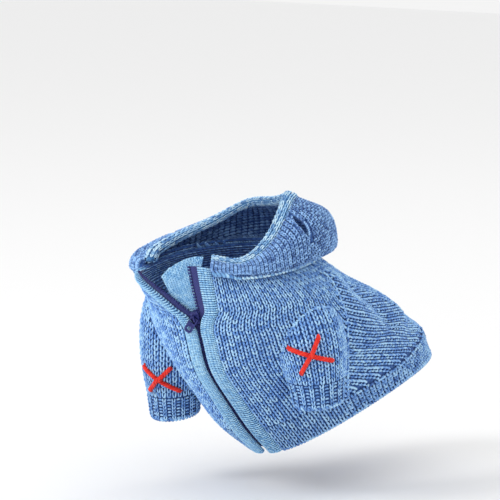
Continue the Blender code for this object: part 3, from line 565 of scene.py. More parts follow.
class MeshKit:
    """Joins many small closed forms into one mesh, with a yarn number and a UV for each."""

    def __init__(self) -> None:
        """Starts with nothing."""
        self.points: list[Array] = []
        self.corners: list[Array] = []
        self.totals: list[Array] = []
        self.uvs: list[Array] = []
        self.yarns: list[Array] = []
        self.count = 0

    def add(self, points: Array, faces: Array, uvs: Array, yarns: Array) -> None:
        """Adds faces of one size.

        Args:
            points: (n, 3) points.
            faces: (m, k) indices into those points, or an empty array.
            uvs: (m, k, 2) texture coordinates.
            yarns: (n,) yarn numbers, from 0 to 1.
        """
        self.points.append(points)
        self.yarns.append(yarns)
        self._faces(faces, uvs, self.count)
        self.count += len(points)

    def _faces(self, faces: Array, uvs: Array, base: int) -> None:
        """Adds faces on points that are there already.

        Args:
            faces: (m, k) indices.
            uvs: Their texture coordinates.
            base: Added to the indices.
        """
        self.corners.append((faces + base).ravel())
        self.totals.append(np.full(len(faces), faces.shape[1]))
        self.uvs.append(uvs.reshape(-1, 2))

    def tubes(self, paths: Array, normals: Array, radii: Array, yarns: Array, sides: int = 5,
              flat: float = 0.85, turns: float = 1.0) -> None:
        """Adds tapered tubes that close in a point at both ends.

        Args:
            paths: (n, k, 3) middle lines.
            normals: (n, k, 3) surface normals along them.
            radii: (n, k) or (k,) radii; the first and last are not used.
            yarns: (n,) yarn numbers.
            sides: Sides of a tube.
            flat: Share of its width that a tube's height has.
            turns: Lengths of texture along each tube.
        """
        n, k = paths.shape[:2]
        if not n:
            return
        tangents = unit(np.gradient(paths, axis=1))
        across = unit(np.cross(tangents, normals))
        up = np.cross(across, tangents)
        a = np.arange(sides) * 2 * math.pi / sides
        radii = np.broadcast_to(radii, (n, k))[:, 1:-1, None, None]
        ring = np.cos(a)[:, None] * across[:, 1:-1, None] + flat * np.sin(a)[:, None] * up[:, 1:-1, None]
        body = paths[:, 1:-1, None] + radii * ring
        points = np.concatenate([paths[:, :1], body.reshape(n, -1, 3), paths[:, -1:]], axis=1)
        size = points.shape[1]
        j = np.arange(sides)
        nxt = (j + 1) % sides
        rows = np.arange(k - 3)[:, None] * sides + 1
        quads = np.stack([rows + j, rows + nxt, rows + nxt + sides, rows + j + sides], -1).reshape(-1, 4)
        last = (k - 3) * sides + 1
        fans = np.concatenate([
            np.stack([np.zeros_like(j), nxt + 1, j + 1], -1),
            np.stack([np.full_like(j, size - 1), j + last, nxt + last], -1),
        ])
        u = np.linspace(0, turns, k)
        v0, v1 = j / sides, (j + 1) / sides
        ones = np.ones(sides)
        quad_uv = np.concatenate([
            np.stack([np.stack([ones * u[m], v0], -1), np.stack([ones * u[m], v1], -1),
                      np.stack([ones * u[m + 1], v1], -1), np.stack([ones * u[m + 1], v0], -1)], 1)
            for m in range(1, k - 2)
        ])
        fan_uv = np.concatenate([
            np.stack([np.stack([ones * u[0], v0], -1), np.stack([ones * u[1], v1], -1),
                      np.stack([ones * u[1], v0], -1)], 1),
            np.stack([np.stack([ones * u[-1], v0], -1), np.stack([ones * u[-2], v0], -1),
                      np.stack([ones * u[-2], v1], -1)], 1),
        ])
        starts = (np.arange(n) * size)[:, None, None]
        base = self.count
        shift = np.stack([yarns * 7.0, np.zeros(n)], -1)[:, None, None]
        self.points.append(points.reshape(-1, 3))
        self.yarns.append(np.repeat(yarns, size))
        self.count += n * size
        for faces, uvs in ((quads, quad_uv), (fans, fan_uv)):
            placed = (starts + faces).reshape(-1, faces.shape[1])
            self._faces(placed, np.broadcast_to(uvs, (n, *uvs.shape)) + shift, base)

    def make(self, name: str) -> bpy.types.Object:
        """The joined mesh as an object.

        Args:
            name: Its name.

        Returns:
            The object.
        """
        mesh = bpy.data.meshes.new(name)
        corners = np.concatenate(self.corners).astype(np.int32)
        totals = np.concatenate(self.totals)
        mesh.vertices.add(self.count)
        mesh.vertices.foreach_set("co", np.concatenate(self.points).astype(np.float32).ravel())
        mesh.loops.add(len(corners))
        mesh.loops.foreach_set("vertex_index", corners)
        mesh.polygons.add(len(totals))
        starts = np.concatenate([[0], np.cumsum(totals)[:-1]]).astype(np.int32)
        mesh.polygons.foreach_set("loop_start", starts)
        mesh.update(calc_edges=True)
        layer = mesh.uv_layers.new(name="yarn_way")
        layer.data.foreach_set("uv", np.concatenate(self.uvs).astype(np.float32).ravel())
        tone = mesh.attributes.new("yarn", "FLOAT", "POINT")
        tone.data.foreach_set("value", np.concatenate(self.yarns).astype(np.float32))
        mesh.shade_smooth()
        return linked(name, mesh)


def linked(name: str, mesh: bpy.types.Mesh) -> bpy.types.Object:
    """A new object in the scene.

    Args:
        name: Its name.
        mesh: Its mesh.

    Returns:
        The object.
    """
    obj = bpy.data.objects.new(name, mesh)
    bpy.context.scene.collection.objects.link(obj)
    return obj


def wall_mesh(name: str, outer: Array, inner: Array, closed: bool = False) -> bpy.types.Object:
    """A sheet with thickness between two equal grids of points.

    Args:
        name: The object's name.
        outer: Grid of the outer face.
        inner: Grid of the inner face.
        closed: Whether the last column meets the first.

    Returns:
        The object, a closed mesh.
    """
    rows, columns = outer.shape[:2]
    last = columns if closed else columns - 1
    i, j = np.meshgrid(np.arange(rows - 1), np.arange(last), indexing="ij")
    k = (j + 1) % columns
    quads = np.stack([i * columns + j, i * columns + k, (i + 1) * columns + k, (i + 1) * columns + j], -1)
    quads = quads.reshape(-1, 4)
    back = rows * columns
    a, b = np.arange(last), (np.arange(last) + 1) % columns
    low = (rows - 1) * columns
    foot = np.stack([low + a, low + b, back + low + b, back + low + a], -1)
    rims = [np.stack([b, a, back + a, back + b], -1), foot]
    if not closed:
        a = np.arange(rows - 1) * columns
        b = a + columns
        e = columns - 1
        rims.append(np.stack([a, b, back + b, back + a], -1))
        rims.append(np.stack([b + e, a + e, back + a + e, back + b + e], -1))
    faces = np.concatenate([quads, quads[:, ::-1] + back, *rims])
    points = np.concatenate([outer.reshape(-1, 3), inner.reshape(-1, 3)])
    mesh = bpy.data.meshes.new(name)
    mesh.from_pydata(points.tolist(), [], faces.tolist())
    mesh.shade_smooth()
    return linked(name, mesh)


def loft_mesh(name: str, rings: Array) -> bpy.types.Object:
    """A solid through closed rings of equal size, with flat ends.

    Args:
        name: The object's name.
        rings: (rows, around, 3) points.

    Returns:
        The object.
    """
    count, around = rings.shape[:2]
    faces = [tuple(range(around)), tuple(reversed(range((count - 1) * around, count * around)))]
    for i in range(count - 1):
        for j in range(around):
            k = (j + 1) % around
            faces.append((i * around + j, (i + 1) * around + j, (i + 1) * around + k, i * around + k))
    mesh = bpy.data.meshes.new(name)
    mesh.from_pydata(rings.reshape(-1, 3).tolist(), [], faces)
    mesh.shade_smooth()
    return linked(name, mesh)


def carve(obj: bpy.types.Object, cutter: bpy.types.Object) -> None:
    """Cuts one object out of another for good, and removes the cutter.

    Args:
        obj: The object that is cut.
        cutter: The one that is cut away.
    """
    for each in (obj, cutter):
        face_outwards(each.data)
    modifier = obj.modifiers.new("Cut", "BOOLEAN")
    modifier.operation = "DIFFERENCE"
    modifier.object = cutter
    graph = bpy.context.evaluated_depsgraph_get()
    mesh = bpy.data.meshes.new_from_object(obj.evaluated_get(graph))
    obj.modifiers.clear()
    obj.data = mesh
    mesh.shade_smooth()
    mesh.set_sharp_from_angle(angle=math.radians(50))
    bpy.data.objects.remove(cutter)


def face_outwards(mesh: bpy.types.Mesh) -> None:
    """Turns a closed mesh whose faces point in.

    Args:
        mesh: The mesh.
    """
    mesh.calc_loop_triangles()
    tris = np.empty(len(mesh.loop_triangles) * 3, np.int32)
    mesh.loop_triangles.foreach_get("vertices", tris)
    points = np.empty(len(mesh.vertices) * 3)
    mesh.vertices.foreach_get("co", points)
    a, b, c = (points.reshape(-1, 3)[tris.reshape(-1, 3)[:, k]] for k in range(3))
    if (a * np.cross(b, c)).sum() < 0:
        mesh.flip_normals()


class Graph:
    """A short way to write a material's nodes."""

    def __init__(self, name: str) -> None:
        """Starts a material with its surface shader.

        Args:
            name: The material's name.
        """
        self.material = bpy.data.materials.new(name)
        self.material.use_nodes = True
        self.tree = self.material.node_tree
        self.shader = self.tree.nodes["Principled BSDF"]

    def node(self, kind: str, inputs: dict[str, object] | None = None,
             **settings: object) -> bpy.types.Node:
        """Adds a node.

        Args:
            kind: The node's type, without its ShaderNode prefix.
            inputs: Values or sockets for its inputs, by name or number.
            **settings: Properties of the node.

        Returns:
            The node.
        """
        made = self.tree.nodes.new(f"ShaderNode{kind}")
        for key, value in settings.items():
            setattr(made, key, value)
        for key, value in (inputs or {}).items():
            socket = made.inputs[key]
            if isinstance(value, bpy.types.NodeSocket):
                self.tree.links.new(value, socket)
            else:
                socket.default_value = value
        return made

    def math(self, operation: str, a: object, b: object = 0.0) -> bpy.types.NodeSocket:
        """The result of one sum."""
        return self.node("Math", {0: a, 1: b}, operation=operation).outputs[0]

    def ramp(self, at: object, stops: Sequence[tuple[float, Colour]]) -> bpy.types.NodeSocket:
        """A colour read from a few stops.

        Args:
            at: Where it is read.
            stops: Places and colours.

        Returns:
            The colour's socket.
        """
        made = self.node("ValToRGB", {0: at})
        ramp = made.color_ramp
        while len(ramp.elements) < len(stops):
            ramp.elements.new(0.5)
        for element, (place, colour) in zip(ramp.elements, stops):
            element.position = place
            element.color = (*colour, 1)
        return made.outputs[0]

    def bump(self, height: object, strength: float, distance: float) -> bpy.types.NodeSocket:
        """A bump of the surface from a height."""
        made = self.node("Bump", {"Height": height, "Strength": strength, "Distance": distance})
        return made.outputs["Normal"]

    def surface(self, values: dict[str, object]) -> bpy.types.Material:
        """Sets the shader's sockets and returns the material.

        Args:
            values: Values or sockets by name.

        Returns:
            The material.
        """
        for key, value in values.items():
            socket = self.shader.inputs[key]
            if isinstance(value, bpy.types.NodeSocket):
                self.tree.links.new(value, socket)
            else:
                socket.default_value = value
        return self.material


@dataclass(frozen=True)
class YarnFinish:
    """Marled yarn: two plies of different tones, twisted, with a soft fibrous face and painted shade round
    each strand, lighter on its crown.
    """

    name: str
    dark: Colour
    middle: Colour
    light: Colour
    roughness: float = 0.82
    sheen: float = 0.12
    plies: float = 2.0
    contrast: float = 0.40
    slub: float = 0.55
    # Strength of the painted shade round each yarn: lighter on its crown, darker underneath.
    painted_crown_shade: float = 0.20
    slub_scale: float = 260.0
    fibre_scale: float = 2600.0
    fibre_height: float = 0.6
    groove_height: float = 1.6
    relief: float = 0.35
    relief_depth: float = 0.0004

    def material(self) -> bpy.types.Material:
        """Builds the material.

        Returns:
            A material that reads each loop's yarn number and the way along its yarn.
        """
        g = Graph(self.name)
        way = g.node("SeparateXYZ", {0: g.node("UVMap", uv_map="yarn_way").outputs[0]})
        place = g.node("TexCoord").outputs["Object"]
        yarn = g.node("Attribute", attribute_name="yarn").outputs["Fac"]
        twist = g.math("ADD", g.math("MULTIPLY", way.outputs[0], self.plies), way.outputs[1])
        ply = g.math("SINE", g.math("MULTIPLY", twist, 2 * math.pi))
        ply = g.math("MULTIPLY", ply, 0.5 * self.contrast * 0.5)
        slub = g.node("TexNoise", {"Vector": place, "Scale": self.slub_scale, "Detail": 2.0}).outputs[0]
        slub = g.math("MULTIPLY", g.math("SUBTRACT", slub, 0.5), self.slub)
        # Painted shade: a sine round each tube lightens the yarn's top and darkens its underside; relief
        # is the slub's random tone plus this painted shade.
        painted_crown_shade = g.math("SINE", g.math("MULTIPLY", way.outputs[1], 2 * math.pi))
        relief = g.math("ADD", slub, g.math("MULTIPLY", painted_crown_shade, self.painted_crown_shade))
        tone = g.math("ADD", g.math("ADD", yarn, ply), relief)
        colour = g.ramp(tone, [(0.12, self.dark), (0.50, self.middle), (0.88, self.light)])
        fibre = g.node("TexNoise", {"Vector": place, "Scale": self.fibre_scale, "Detail": 3.0}).outputs[0]
        groove = g.math("ABSOLUTE", ply)
        fibre = g.math("MULTIPLY", fibre, self.fibre_height)
        height = g.math("ADD", fibre, g.math("MULTIPLY", groove, self.groove_height))
        return g.surface({
            "Base Color": colour,
            "Roughness": self.roughness,
            "Sheen Weight": self.sheen,
            "Sheen Roughness": 0.6,
            "Specular IOR Level": 0.25,
            "Normal": g.bump(height, self.relief, self.relief_depth),
        })


@dataclass(frozen=True)
class BackFinish:
    """The knit's ground behind the loops, which shows as purl rows on the inside; its colours are darker
    than the loops' yarn, as painted shade in the gaps between them.
    """

    name: str
    dark: Colour
    light: Colour
    row: float = 0.0030
    mix_scale: float = 420.0
    relief: float = 0.8
    relief_depth: float = 0.0012

    def material(self) -> bpy.types.Material:
        """Builds the material.

        Returns:
            A material with fine mixed yarn tones, painted shade darker towards the edges of its bumps, and
            a low bumpy relief.
        """
        g = Graph(self.name)
        place = g.node("TexCoord").outputs["Object"]
        cells = {"Vector": place, "Scale": 1 / self.row, "Randomness": 0.55}
        bumps = g.node("TexVoronoi", cells).outputs[0]
        noise = g.node("TexNoise", {"Vector": place, "Scale": self.mix_scale, "Detail": 3.0}).outputs[0]
        # Painted shade: the tone drops away from each cell's middle and is darkest where the bumps dip.
        tone = g.math("ADD", g.math("MULTIPLY", noise, 0.9), g.math("MULTIPLY", bumps, -0.35))
        colour = g.ramp(tone, [(0.12, self.dark), (0.62, self.light)])
        return g.surface({
            "Base Color": colour,
            "Roughness": 0.9,
            "Sheen Weight": 0.2,
            "Specular IOR Level": 0.2,
            "Normal": g.bump(g.math("MULTIPLY", bumps, -1.0), self.relief, self.relief_depth),
        })


@dataclass(frozen=True)
class TapeFinish:
    """Woven zip tape: a fine twill with a faint sheen."""

    name: str
    colour: Colour
    worn: Colour
    thread: float = 0.00045
    mix_scale: float = 600.0
    relief: float = 0.4
    relief_depth: float = 0.0002

    def material(self) -> bpy.types.Material:
        """Builds the material.

        Returns:
            A woven material.
        """
        g = Graph(self.name)
        place = g.node("TexCoord").outputs["Object"]
        rib = g.node("TexWave", {"Vector": place, "Scale": 0.16 / self.thread, "Distortion": 0.6},
                     bands_direction="DIAGONAL").outputs[1]
        noise = g.node("TexNoise", {"Vector": place, "Scale": self.mix_scale, "Detail": 2.0}).outputs[0]
        tone = g.math("ADD", g.math("MULTIPLY", rib, 0.45), g.math("MULTIPLY", noise, 0.6))
        return g.surface({
            "Base Color": g.ramp(tone, [(0.2, self.colour), (0.85, self.worn)]),
            "Roughness": 0.72,
            "Sheen Weight": 0.15,
            "Normal": g.bump(rib, self.relief, self.relief_depth),
        })


@dataclass(frozen=True)
class EnamelFinish:
    """Painted metal or hard plastic, a little worn in fine random scuffs."""

    name: str
    colour: Colour
    worn: Colour
    roughness: float = 0.34
    metallic: float = 0.35
    scuff_scale: float = 900.0
    relief: float = 0.12
    relief_depth: float = 0.0001

    def material(self) -> bpy.types.Material:
        """Builds the material.

        Returns:
            A glossy material with fine scuffs.
        """
        g = Graph(self.name)
        place = g.node("TexCoord").outputs["Object"]
        scuff = g.node("TexNoise", {"Vector": place, "Scale": self.scuff_scale, "Detail": 4.0}).outputs[0]
        return g.surface({
            "Base Color": g.ramp(scuff, [(0.45, self.colour), (0.80, self.worn)]),
            "Metallic": self.metallic,
            "Roughness": self.roughness,
            "Normal": g.bump(scuff, self.relief, self.relief_depth),
        })


Finish = YarnFinish | BackFinish | TapeFinish | EnamelFinish


@dataclass
class Wardrobe:
    """Every finish of the garment, each made once."""

    knit: YarnFinish = YarnFinish("marled_knit", (0.034, 0.110, 0.370), (0.148, 0.345, 0.770),
                                 (0.440, 0.720, 0.980))
    rib: YarnFinish = YarnFinish("marled_rib", (0.034, 0.105, 0.340), (0.140, 0.325, 0.700),
                                (0.400, 0.660, 0.930))
    hood: YarnFinish = YarnFinish("hood_knit", (0.026, 0.068, 0.230), (0.104, 0.230, 0.540),
                                 (0.320, 0.560, 0.910))
    edge: YarnFinish = YarnFinish("light_edge_yarn", (0.100, 0.290, 0.590), (0.235, 0.510, 0.820),
                                  (0.480, 0.770, 0.970), contrast=0.25, slub=0.45)
    band: YarnFinish = YarnFinish("light_band_yarn", (0.060, 0.185, 0.470), (0.240, 0.500, 0.820),
                                  (0.620, 0.850, 0.980), slub=0.75)
    red: YarnFinish = YarnFinish("red_yarn", (0.350, 0.006, 0.004), (0.700, 0.012, 0.007),
                                 (0.840, 0.040, 0.020), plies=0.0, contrast=0.0, slub=0.3)
    # Both grounds are darker than the yarns over them: painted shade in the gaps between the loops.
    ground: BackFinish = BackFinish("knit_ground", (0.018, 0.060, 0.220), (0.080, 0.205, 0.540))
    light_ground: BackFinish = BackFinish("light_ground", (0.050, 0.190, 0.460), (0.210, 0.490, 0.800))
    tape: TapeFinish = TapeFinish("navy_tape", (0.010, 0.013, 0.110), (0.034, 0.044, 0.215))
    enamel: EnamelFinish = EnamelFinish("navy_enamel", (0.012, 0.015, 0.120), (0.060, 0.075, 0.300))
    made: dict[str, bpy.types.Material] = field(default_factory=dict)

    def dress(self, obj: bpy.types.Object, finish: Finish) -> None:
        """Gives an object one finish.

        Args:
            obj: The object.
            finish: One of the wardrobe's finishes.
        """
        if finish.name not in self.made:
            self.made[finish.name] = finish.material()
        obj.data.materials.clear()
        obj.data.materials.append(self.made[finish.name])

    def put_on(self, obj: bpy.types.Object, finish: Finish, slot: str, *nodes: str) -> bpy.types.Object:
        """Dresses a finished piece and puts it on the hoodie.

        Args:
            obj: The piece.
            finish: One of the wardrobe's finishes.
            slot: The record's material slot; not used.
            *nodes: The solids that it stands for.

        Returns:
            The piece.
        """
        self.dress(obj, finish)
        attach(obj, HOODIE)
        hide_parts(*nodes)
        log.info("%-22s %7d faces", obj.name, len(obj.data.polygons))
        return obj


class Held(Enum):
    """How a sheet of cloth is held."""

    HUNG = "hung"
    FOLDED = "folded"


class YarnPath(NamedTuple):
    """A stitch's yarn: places in wales and courses, heights in depths, radii in wales."""

    across: tuple[float, ...]
    down: tuple[float, ...]
    height: tuple[float, ...]
    rise: float
    radius: tuple[float, ...]
    leans: tuple[float, ...]


YARN_PATHS = {
    Stitch.KNIT: YarnPath((0.06, 0.13, 0.23, 0.30, 0.26), (0.66, 0.36, -0.04, -0.46, -0.82),
                          (-1.0, 0.35, 1.0, 0.55, -1.0), 0.75, (0, 0.155, 0.180, 0.150, 0), (-1.0, 1.0)),
    Stitch.PURL: YarnPath((-0.52, -0.30, 0.0, 0.30, 0.52), (0.22, -0.06, -0.18, -0.06, 0.22),
                          (-0.9, 0.2, 0.6, 0.2, -0.9), 0.7, (0, 0.19, 0.23, 0.19, 0), (1.0,)),
}


@dataclass
class Knitter:
    """Lays rows of real loops on a fabric; each loop is a little out of place and of its own tone."""

    wale: float = 0.0044
    course: float = 0.0031
    depth: float = 0.0009
    tones: float = 0.11
    size: float = 1.0
    seed: int = 7
    shift_across: float = 0.025
    shift_down: float = 0.03
    wander: float = 0.06
    leg_tones: float = 0.07
    rope_tones: float = 0.22

    def loops(self, kit: MeshKit, fabric: Fabric, wales: int, courses: int, lift: float,
              keep: Callable[[Array, Array], Array] | None = None, kind: Stitch = Stitch.KNIT,
              columns: Array | None = None, inside: bool = False, check: int | None = None) -> None:
        """Adds one stitch for each wale and course.

        Args:
            kit: Where the loops are collected.
            fabric: The surface that they lie on.
            wales: Columns across the whole fabric.
            courses: Rows down the whole fabric.
            lift: Height of the yarn's middle over the fabric.
            keep: Tells which of some points, with their marks, get a stitch.
            kind: How the stitches show.
            columns: The columns that are laid, or all of them.
            inside: Whether they lie on the fabric's inner face.
            check: 0 or 1 for every other stitch, as on a chequered board.
        """
        chance = np.random.default_rng(self.seed)
        column = np.arange(wales) if columns is None else columns
        i, j = (a.ravel() for a in np.meshgrid(column, np.arange(courses), indexing="ij"))
        if check is not None:
            chosen = (i + j) % 2 == check
            i, j = i[chosen], j[chosen]
        across = (i + 0.5) / wales
        down = (j + 0.5) / courses
        if keep is not None:
            good = keep(fabric.read(down, across)[0], fabric.mark(down, across))
            across, down = across[good], down[good]
        n = len(across)
        across = across + chance.normal(0, self.shift_across, n) / wales
        down = down + chance.normal(0, self.shift_down, n) / courses
        mood = chance.normal(0.5, self.tones, n)
        face = -1.0 if inside else 1.0
        form = YARN_PATHS[kind]
        y = np.array(form.down)
        high = np.array(form.height) * self.depth * form.rise
        radius = np.array(form.radius) * self.size
        for lean in form.leans:
            x = lean * np.array(form.across)
            wander = chance.normal(1, self.wander, n)[:, None]
            p, normal = fabric.read(down[:, None] + y / courses, across[:, None] + x / wales)
            half, tall = 0.5 / wales, 0.5 / courses
            beside = fabric.read(down, across + half)[0] - fabric.read(down, across - half)[0]
            ahead = unit(fabric.read(down + tall, across)[0] - fabric.read(down - tall, across)[0])
            beside = beside - ahead * (beside * ahead).sum(axis=-1, keepdims=True)
            width = np.clip(np.linalg.norm(beside, axis=-1)[:, None], self.wale * 0.5, self.wale * 1.5)
            paths = p + normal * (lift + high * wander)[..., None] * face
            tone = np.clip(mood + chance.normal(0, self.leg_tones, n), 0, 1)
            kit.tubes(paths, normal * face, radius * width * wander, tone)

    def rope(self, kit: MeshKit, path: Array, normals: Array, yarn: float, lift: float,
             closed: bool = False, pitch: float = 1.1) -> None:
        """Adds a linked edge: slanting short loops along a line.

        Args:
            kit: Where the loops are collected.
            path: (n, 3) points of the line.
            normals: (n, 3) surface normals on it.
            yarn: Diameter of the yarn.
            lift: Height of its middle over the line.
            closed: Whether the line meets itself.
            pitch: Distance between two loops, in diameters.
        """
        chance = np.random.default_rng(self.seed + 1)
        if closed:
            path, normals = np.vstack([path, path[:1]]), np.vstack([normals, normals[:1]])
        walked = np.concatenate([[0], np.cumsum(np.linalg.norm(np.diff(path, axis=0), axis=1))])
        count = max(3, int(walked[-1] / (yarn * pitch)))
        mid = (np.arange(count) + 0.5) / count * walked[-1]

        def at(s: Array, data: Array) -> Array:
            """The line's data at some lengths."""
            return np.stack([np.interp(s, walked, data[:, k]) for k in range(3)], -1)

        along = unit(at(mid + yarn / 2, path) - at(mid - yarn / 2, path))
        normal = unit(at(mid, normals))
        side = unit(np.cross(along, normal))
        shares = np.array([-1.0, -0.55, 0.0, 0.55, 1.0])
        centre = at(mid, path)[:, None]
        bow = np.array([-0.6, 0.35, 0.7, 0.35, -0.6]) * yarn * 0.5
        paths = centre + along[:, None] * (shares * yarn * 0.75)[:, None]
        paths = paths + side[:, None] * (shares * yarn * 0.62)[:, None]
        paths = paths + normal[:, None] * (lift + bow)[:, None]
        radii = np.array([0, 0.42, 0.5, 0.42, 0]) * yarn
        normals5 = np.repeat(normal[:, None], 5, axis=1)
        kit.tubes(paths, normals5, radii, np.clip(chance.normal(0.5, self.rope_tones, count), 0, 1))


def shell(name: str, fabric: Fabric, rows: int, columns: int, over: float,
          under: float = GROUND_UNDER) -> bpy.types.Object:
    """The closed ground that a fabric's loops are worked into.

    Args:
        name: The object's name.
        fabric: The surface.
        rows: Points down it.
        columns: Points across it.
        over: Height of its outer face over the fabric.
        under: Height of its inner face, below zero.

    Returns:
        The object.
    """
    count = columns - 1 if fabric.closed else columns
    down, across = np.meshgrid(np.linspace(0, 1, rows), np.linspace(0, 1, columns)[:count], indexing="ij")
    p, n = fabric.read(down, across)
    return wall_mesh(name, p + n * over, p + n * under, closed=fabric.closed)


class SleeveRing(NamedTuple):
    """A sleeve's radius at one share of its length, as a share of its widest."""

    along: float
    radius: float


SLEEVE_RINGS = [
    SleeveRing(0.00, 0.88),
    SleeveRing(0.14, 1.00),
    SleeveRing(0.36, 1.00),
    SleeveRing(0.66, 0.84),
    SleeveRing(0.84, 0.71),
    SleeveRing(1.00, 0.65),
]


@dataclass(frozen=True)
class SleeveForm:
    """The worn form of one sleeve, from inside the shoulder to the cuff's edge."""

    side: Side
    drop: float
    back: float
    head_back: float
    radius: float = 0.0245
    head_drop: float = 0.020
    apart: float = 0.133
    head_apart: float = 0.086
    tilt: float = math.radians(11)
    bow: float = 0.03
    cuff_length: float = 0.016

    def centre(self, along: Array) -> tuple[Array, Array, Array]:
        """The middle line's distance out, back and height.

        Args:
            along: Share of the sleeve's length.

        Returns:
            x on the sleeve's own side, y and z.
        """
        held = np.clip(along, 0, 1)
        bow = 4 * held * (1 - held) * self.bow * self.apart
        x = (self.head_apart + (self.apart - self.head_apart) * along) / 2 + bow
        y = self.head_back + (self.back - self.head_back) * along
        return x, y, -self.head_drop - (self.drop - self.head_drop) * along

    def point(self, along: Array | float, angle: Array | float, lift: Array | float = 0.0) -> Array:
        """A point of the sleeve; the angle is 0 at the front and grows to the outer side.

        Args:
            along: Share of its length.
            angle: Angle round it.
            lift: Height over the wall's middle.

        Returns:
            Points, in metres.
        """
        along, angle = np.broadcast_arrays(np.asarray(along, float), np.asarray(angle, float))
        x, y, z = self.centre(along)
        radius = smooth(SLEEVE_RINGS, "radius", along) * self.radius + lift
        forward = radius * np.cos(angle)
        tilt = self.tilt * along
        return np.stack([self.side.value * (x + radius * np.sin(angle)),
                         y - forward * np.cos(tilt), z - forward * np.sin(tilt)], axis=-1)

    def cuff_start(self) -> float:
        """The share of the sleeve where the cuff starts."""
        return 1 - self.cuff_length / (self.drop - self.head_drop)

    def fabric(self, start: float, end: float, rows: int = 60, columns: int = 96) -> Fabric:
        """The sleeve between two shares of its length, as a closed fabric.

        Args:
            start: The first share.
            end: The last share.
            rows: Points down it.
            columns: Points round it.

        Returns:
            The fabric.
        """
        alongs = np.linspace(start, end, rows)[:, None]
        angles = (np.arange(columns) * 2 * math.pi / columns)[None, :]
        return Fabric(self.point(alongs, angles), closed=True, flipped=self.side is Side.RIGHT)

    def holds(self, points: Array, margin: float) -> Array:
        """Whether points lie inside the sleeve, at least `margin` within its wall's middle.

        Args:
            points: (n, 3) points.
            margin: Distance, in metres.

        Returns:
            One truth value for each point.
        """
        z0, z1 = -self.head_drop, -self.drop
        along = (points[:, 2] - z0) / (z1 - z0)
        x, y, _ = self.centre(along)
        far = np.hypot(points[:, 0] * self.side.value - x, points[:, 1] - y)
        radius = smooth(SLEEVE_RINGS, "radius", along) * self.radius
        return (far < radius - margin) & (along > 0.02) & (along < 1.1)

    def solid(self, name: str, start: float, end: float, lift: float) -> bpy.types.Object:
        """A filled stretch of the sleeve, for cutting.

        Args:
            name: The object's name.
            start: The first share.
            end: The last share.
            lift: Height over the wall's middle.

        Returns:
            The object.
        """
        angles = np.arange(48) * 2 * math.pi / 48
        rings = np.array([self.point(s, angles, lift) for s in np.linspace(start, end, 24)])
        return loft_mesh(name, rings)


class HoodStation(NamedTuple):
    """The hood's pouch at one share of the neck seam, in shares of the hood's own sizes."""

    turn: float
    reach: float
    height: float
    tuck: float
    sag: float


HOOD_STATIONS = [
    HoodStation(0.00, 0.30, 0.12, 0.00, 0.20),
    HoodStation(0.11, 0.38, 0.18, 0.02, 0.22),
    HoodStation(0.20, 0.60, 0.52, 0.36, 0.25),
    HoodStation(0.29, 0.82, 1.00, 0.80, 0.28),
    HoodStation(0.42, 0.92, 0.93, 1.00, 0.35),
    HoodStation(0.57, 0.95, 0.78, 1.00, 0.45),
    HoodStation(0.72, 1.00, 0.70, 0.80, 0.60),
    HoodStation(0.84, 1.00, 0.40, 0.30, 0.85),
    HoodStation(0.93, 1.08, 0.22, 0.02, 1.00),
    HoodStation(0.97, 0.95, 0.16, 0.00, 0.85),
    HoodStation(1.00, 0.25, 0.10, 0.00, 0.30),
]


class LapPoint(NamedTuple):
    """A point of the hood's fold on the body: how far down, in sags, and how far out, in reaches."""

    start: float
    sag: float
    reach: float


class PouchPoint(NamedTuple):
    """A point of the hood's pouch, in shares of its station's own sizes."""

    reach: float
    tuck: float
    height: float
    sag: float


LAP_POINTS = [
    LapPoint(0.004, 0.0, 0.0),
    LapPoint(0.004, 0.5, 0.05),
    LapPoint(0.006, 1.0, 0.35),
]
POUCH_POINTS = [
    PouchPoint(1.00, 0.00, 0.24, 0.35),
    PouchPoint(0.74, 0.10, 0.72, 0.00),
    PouchPoint(0.00, 1.00, 1.00, 0.00),
]


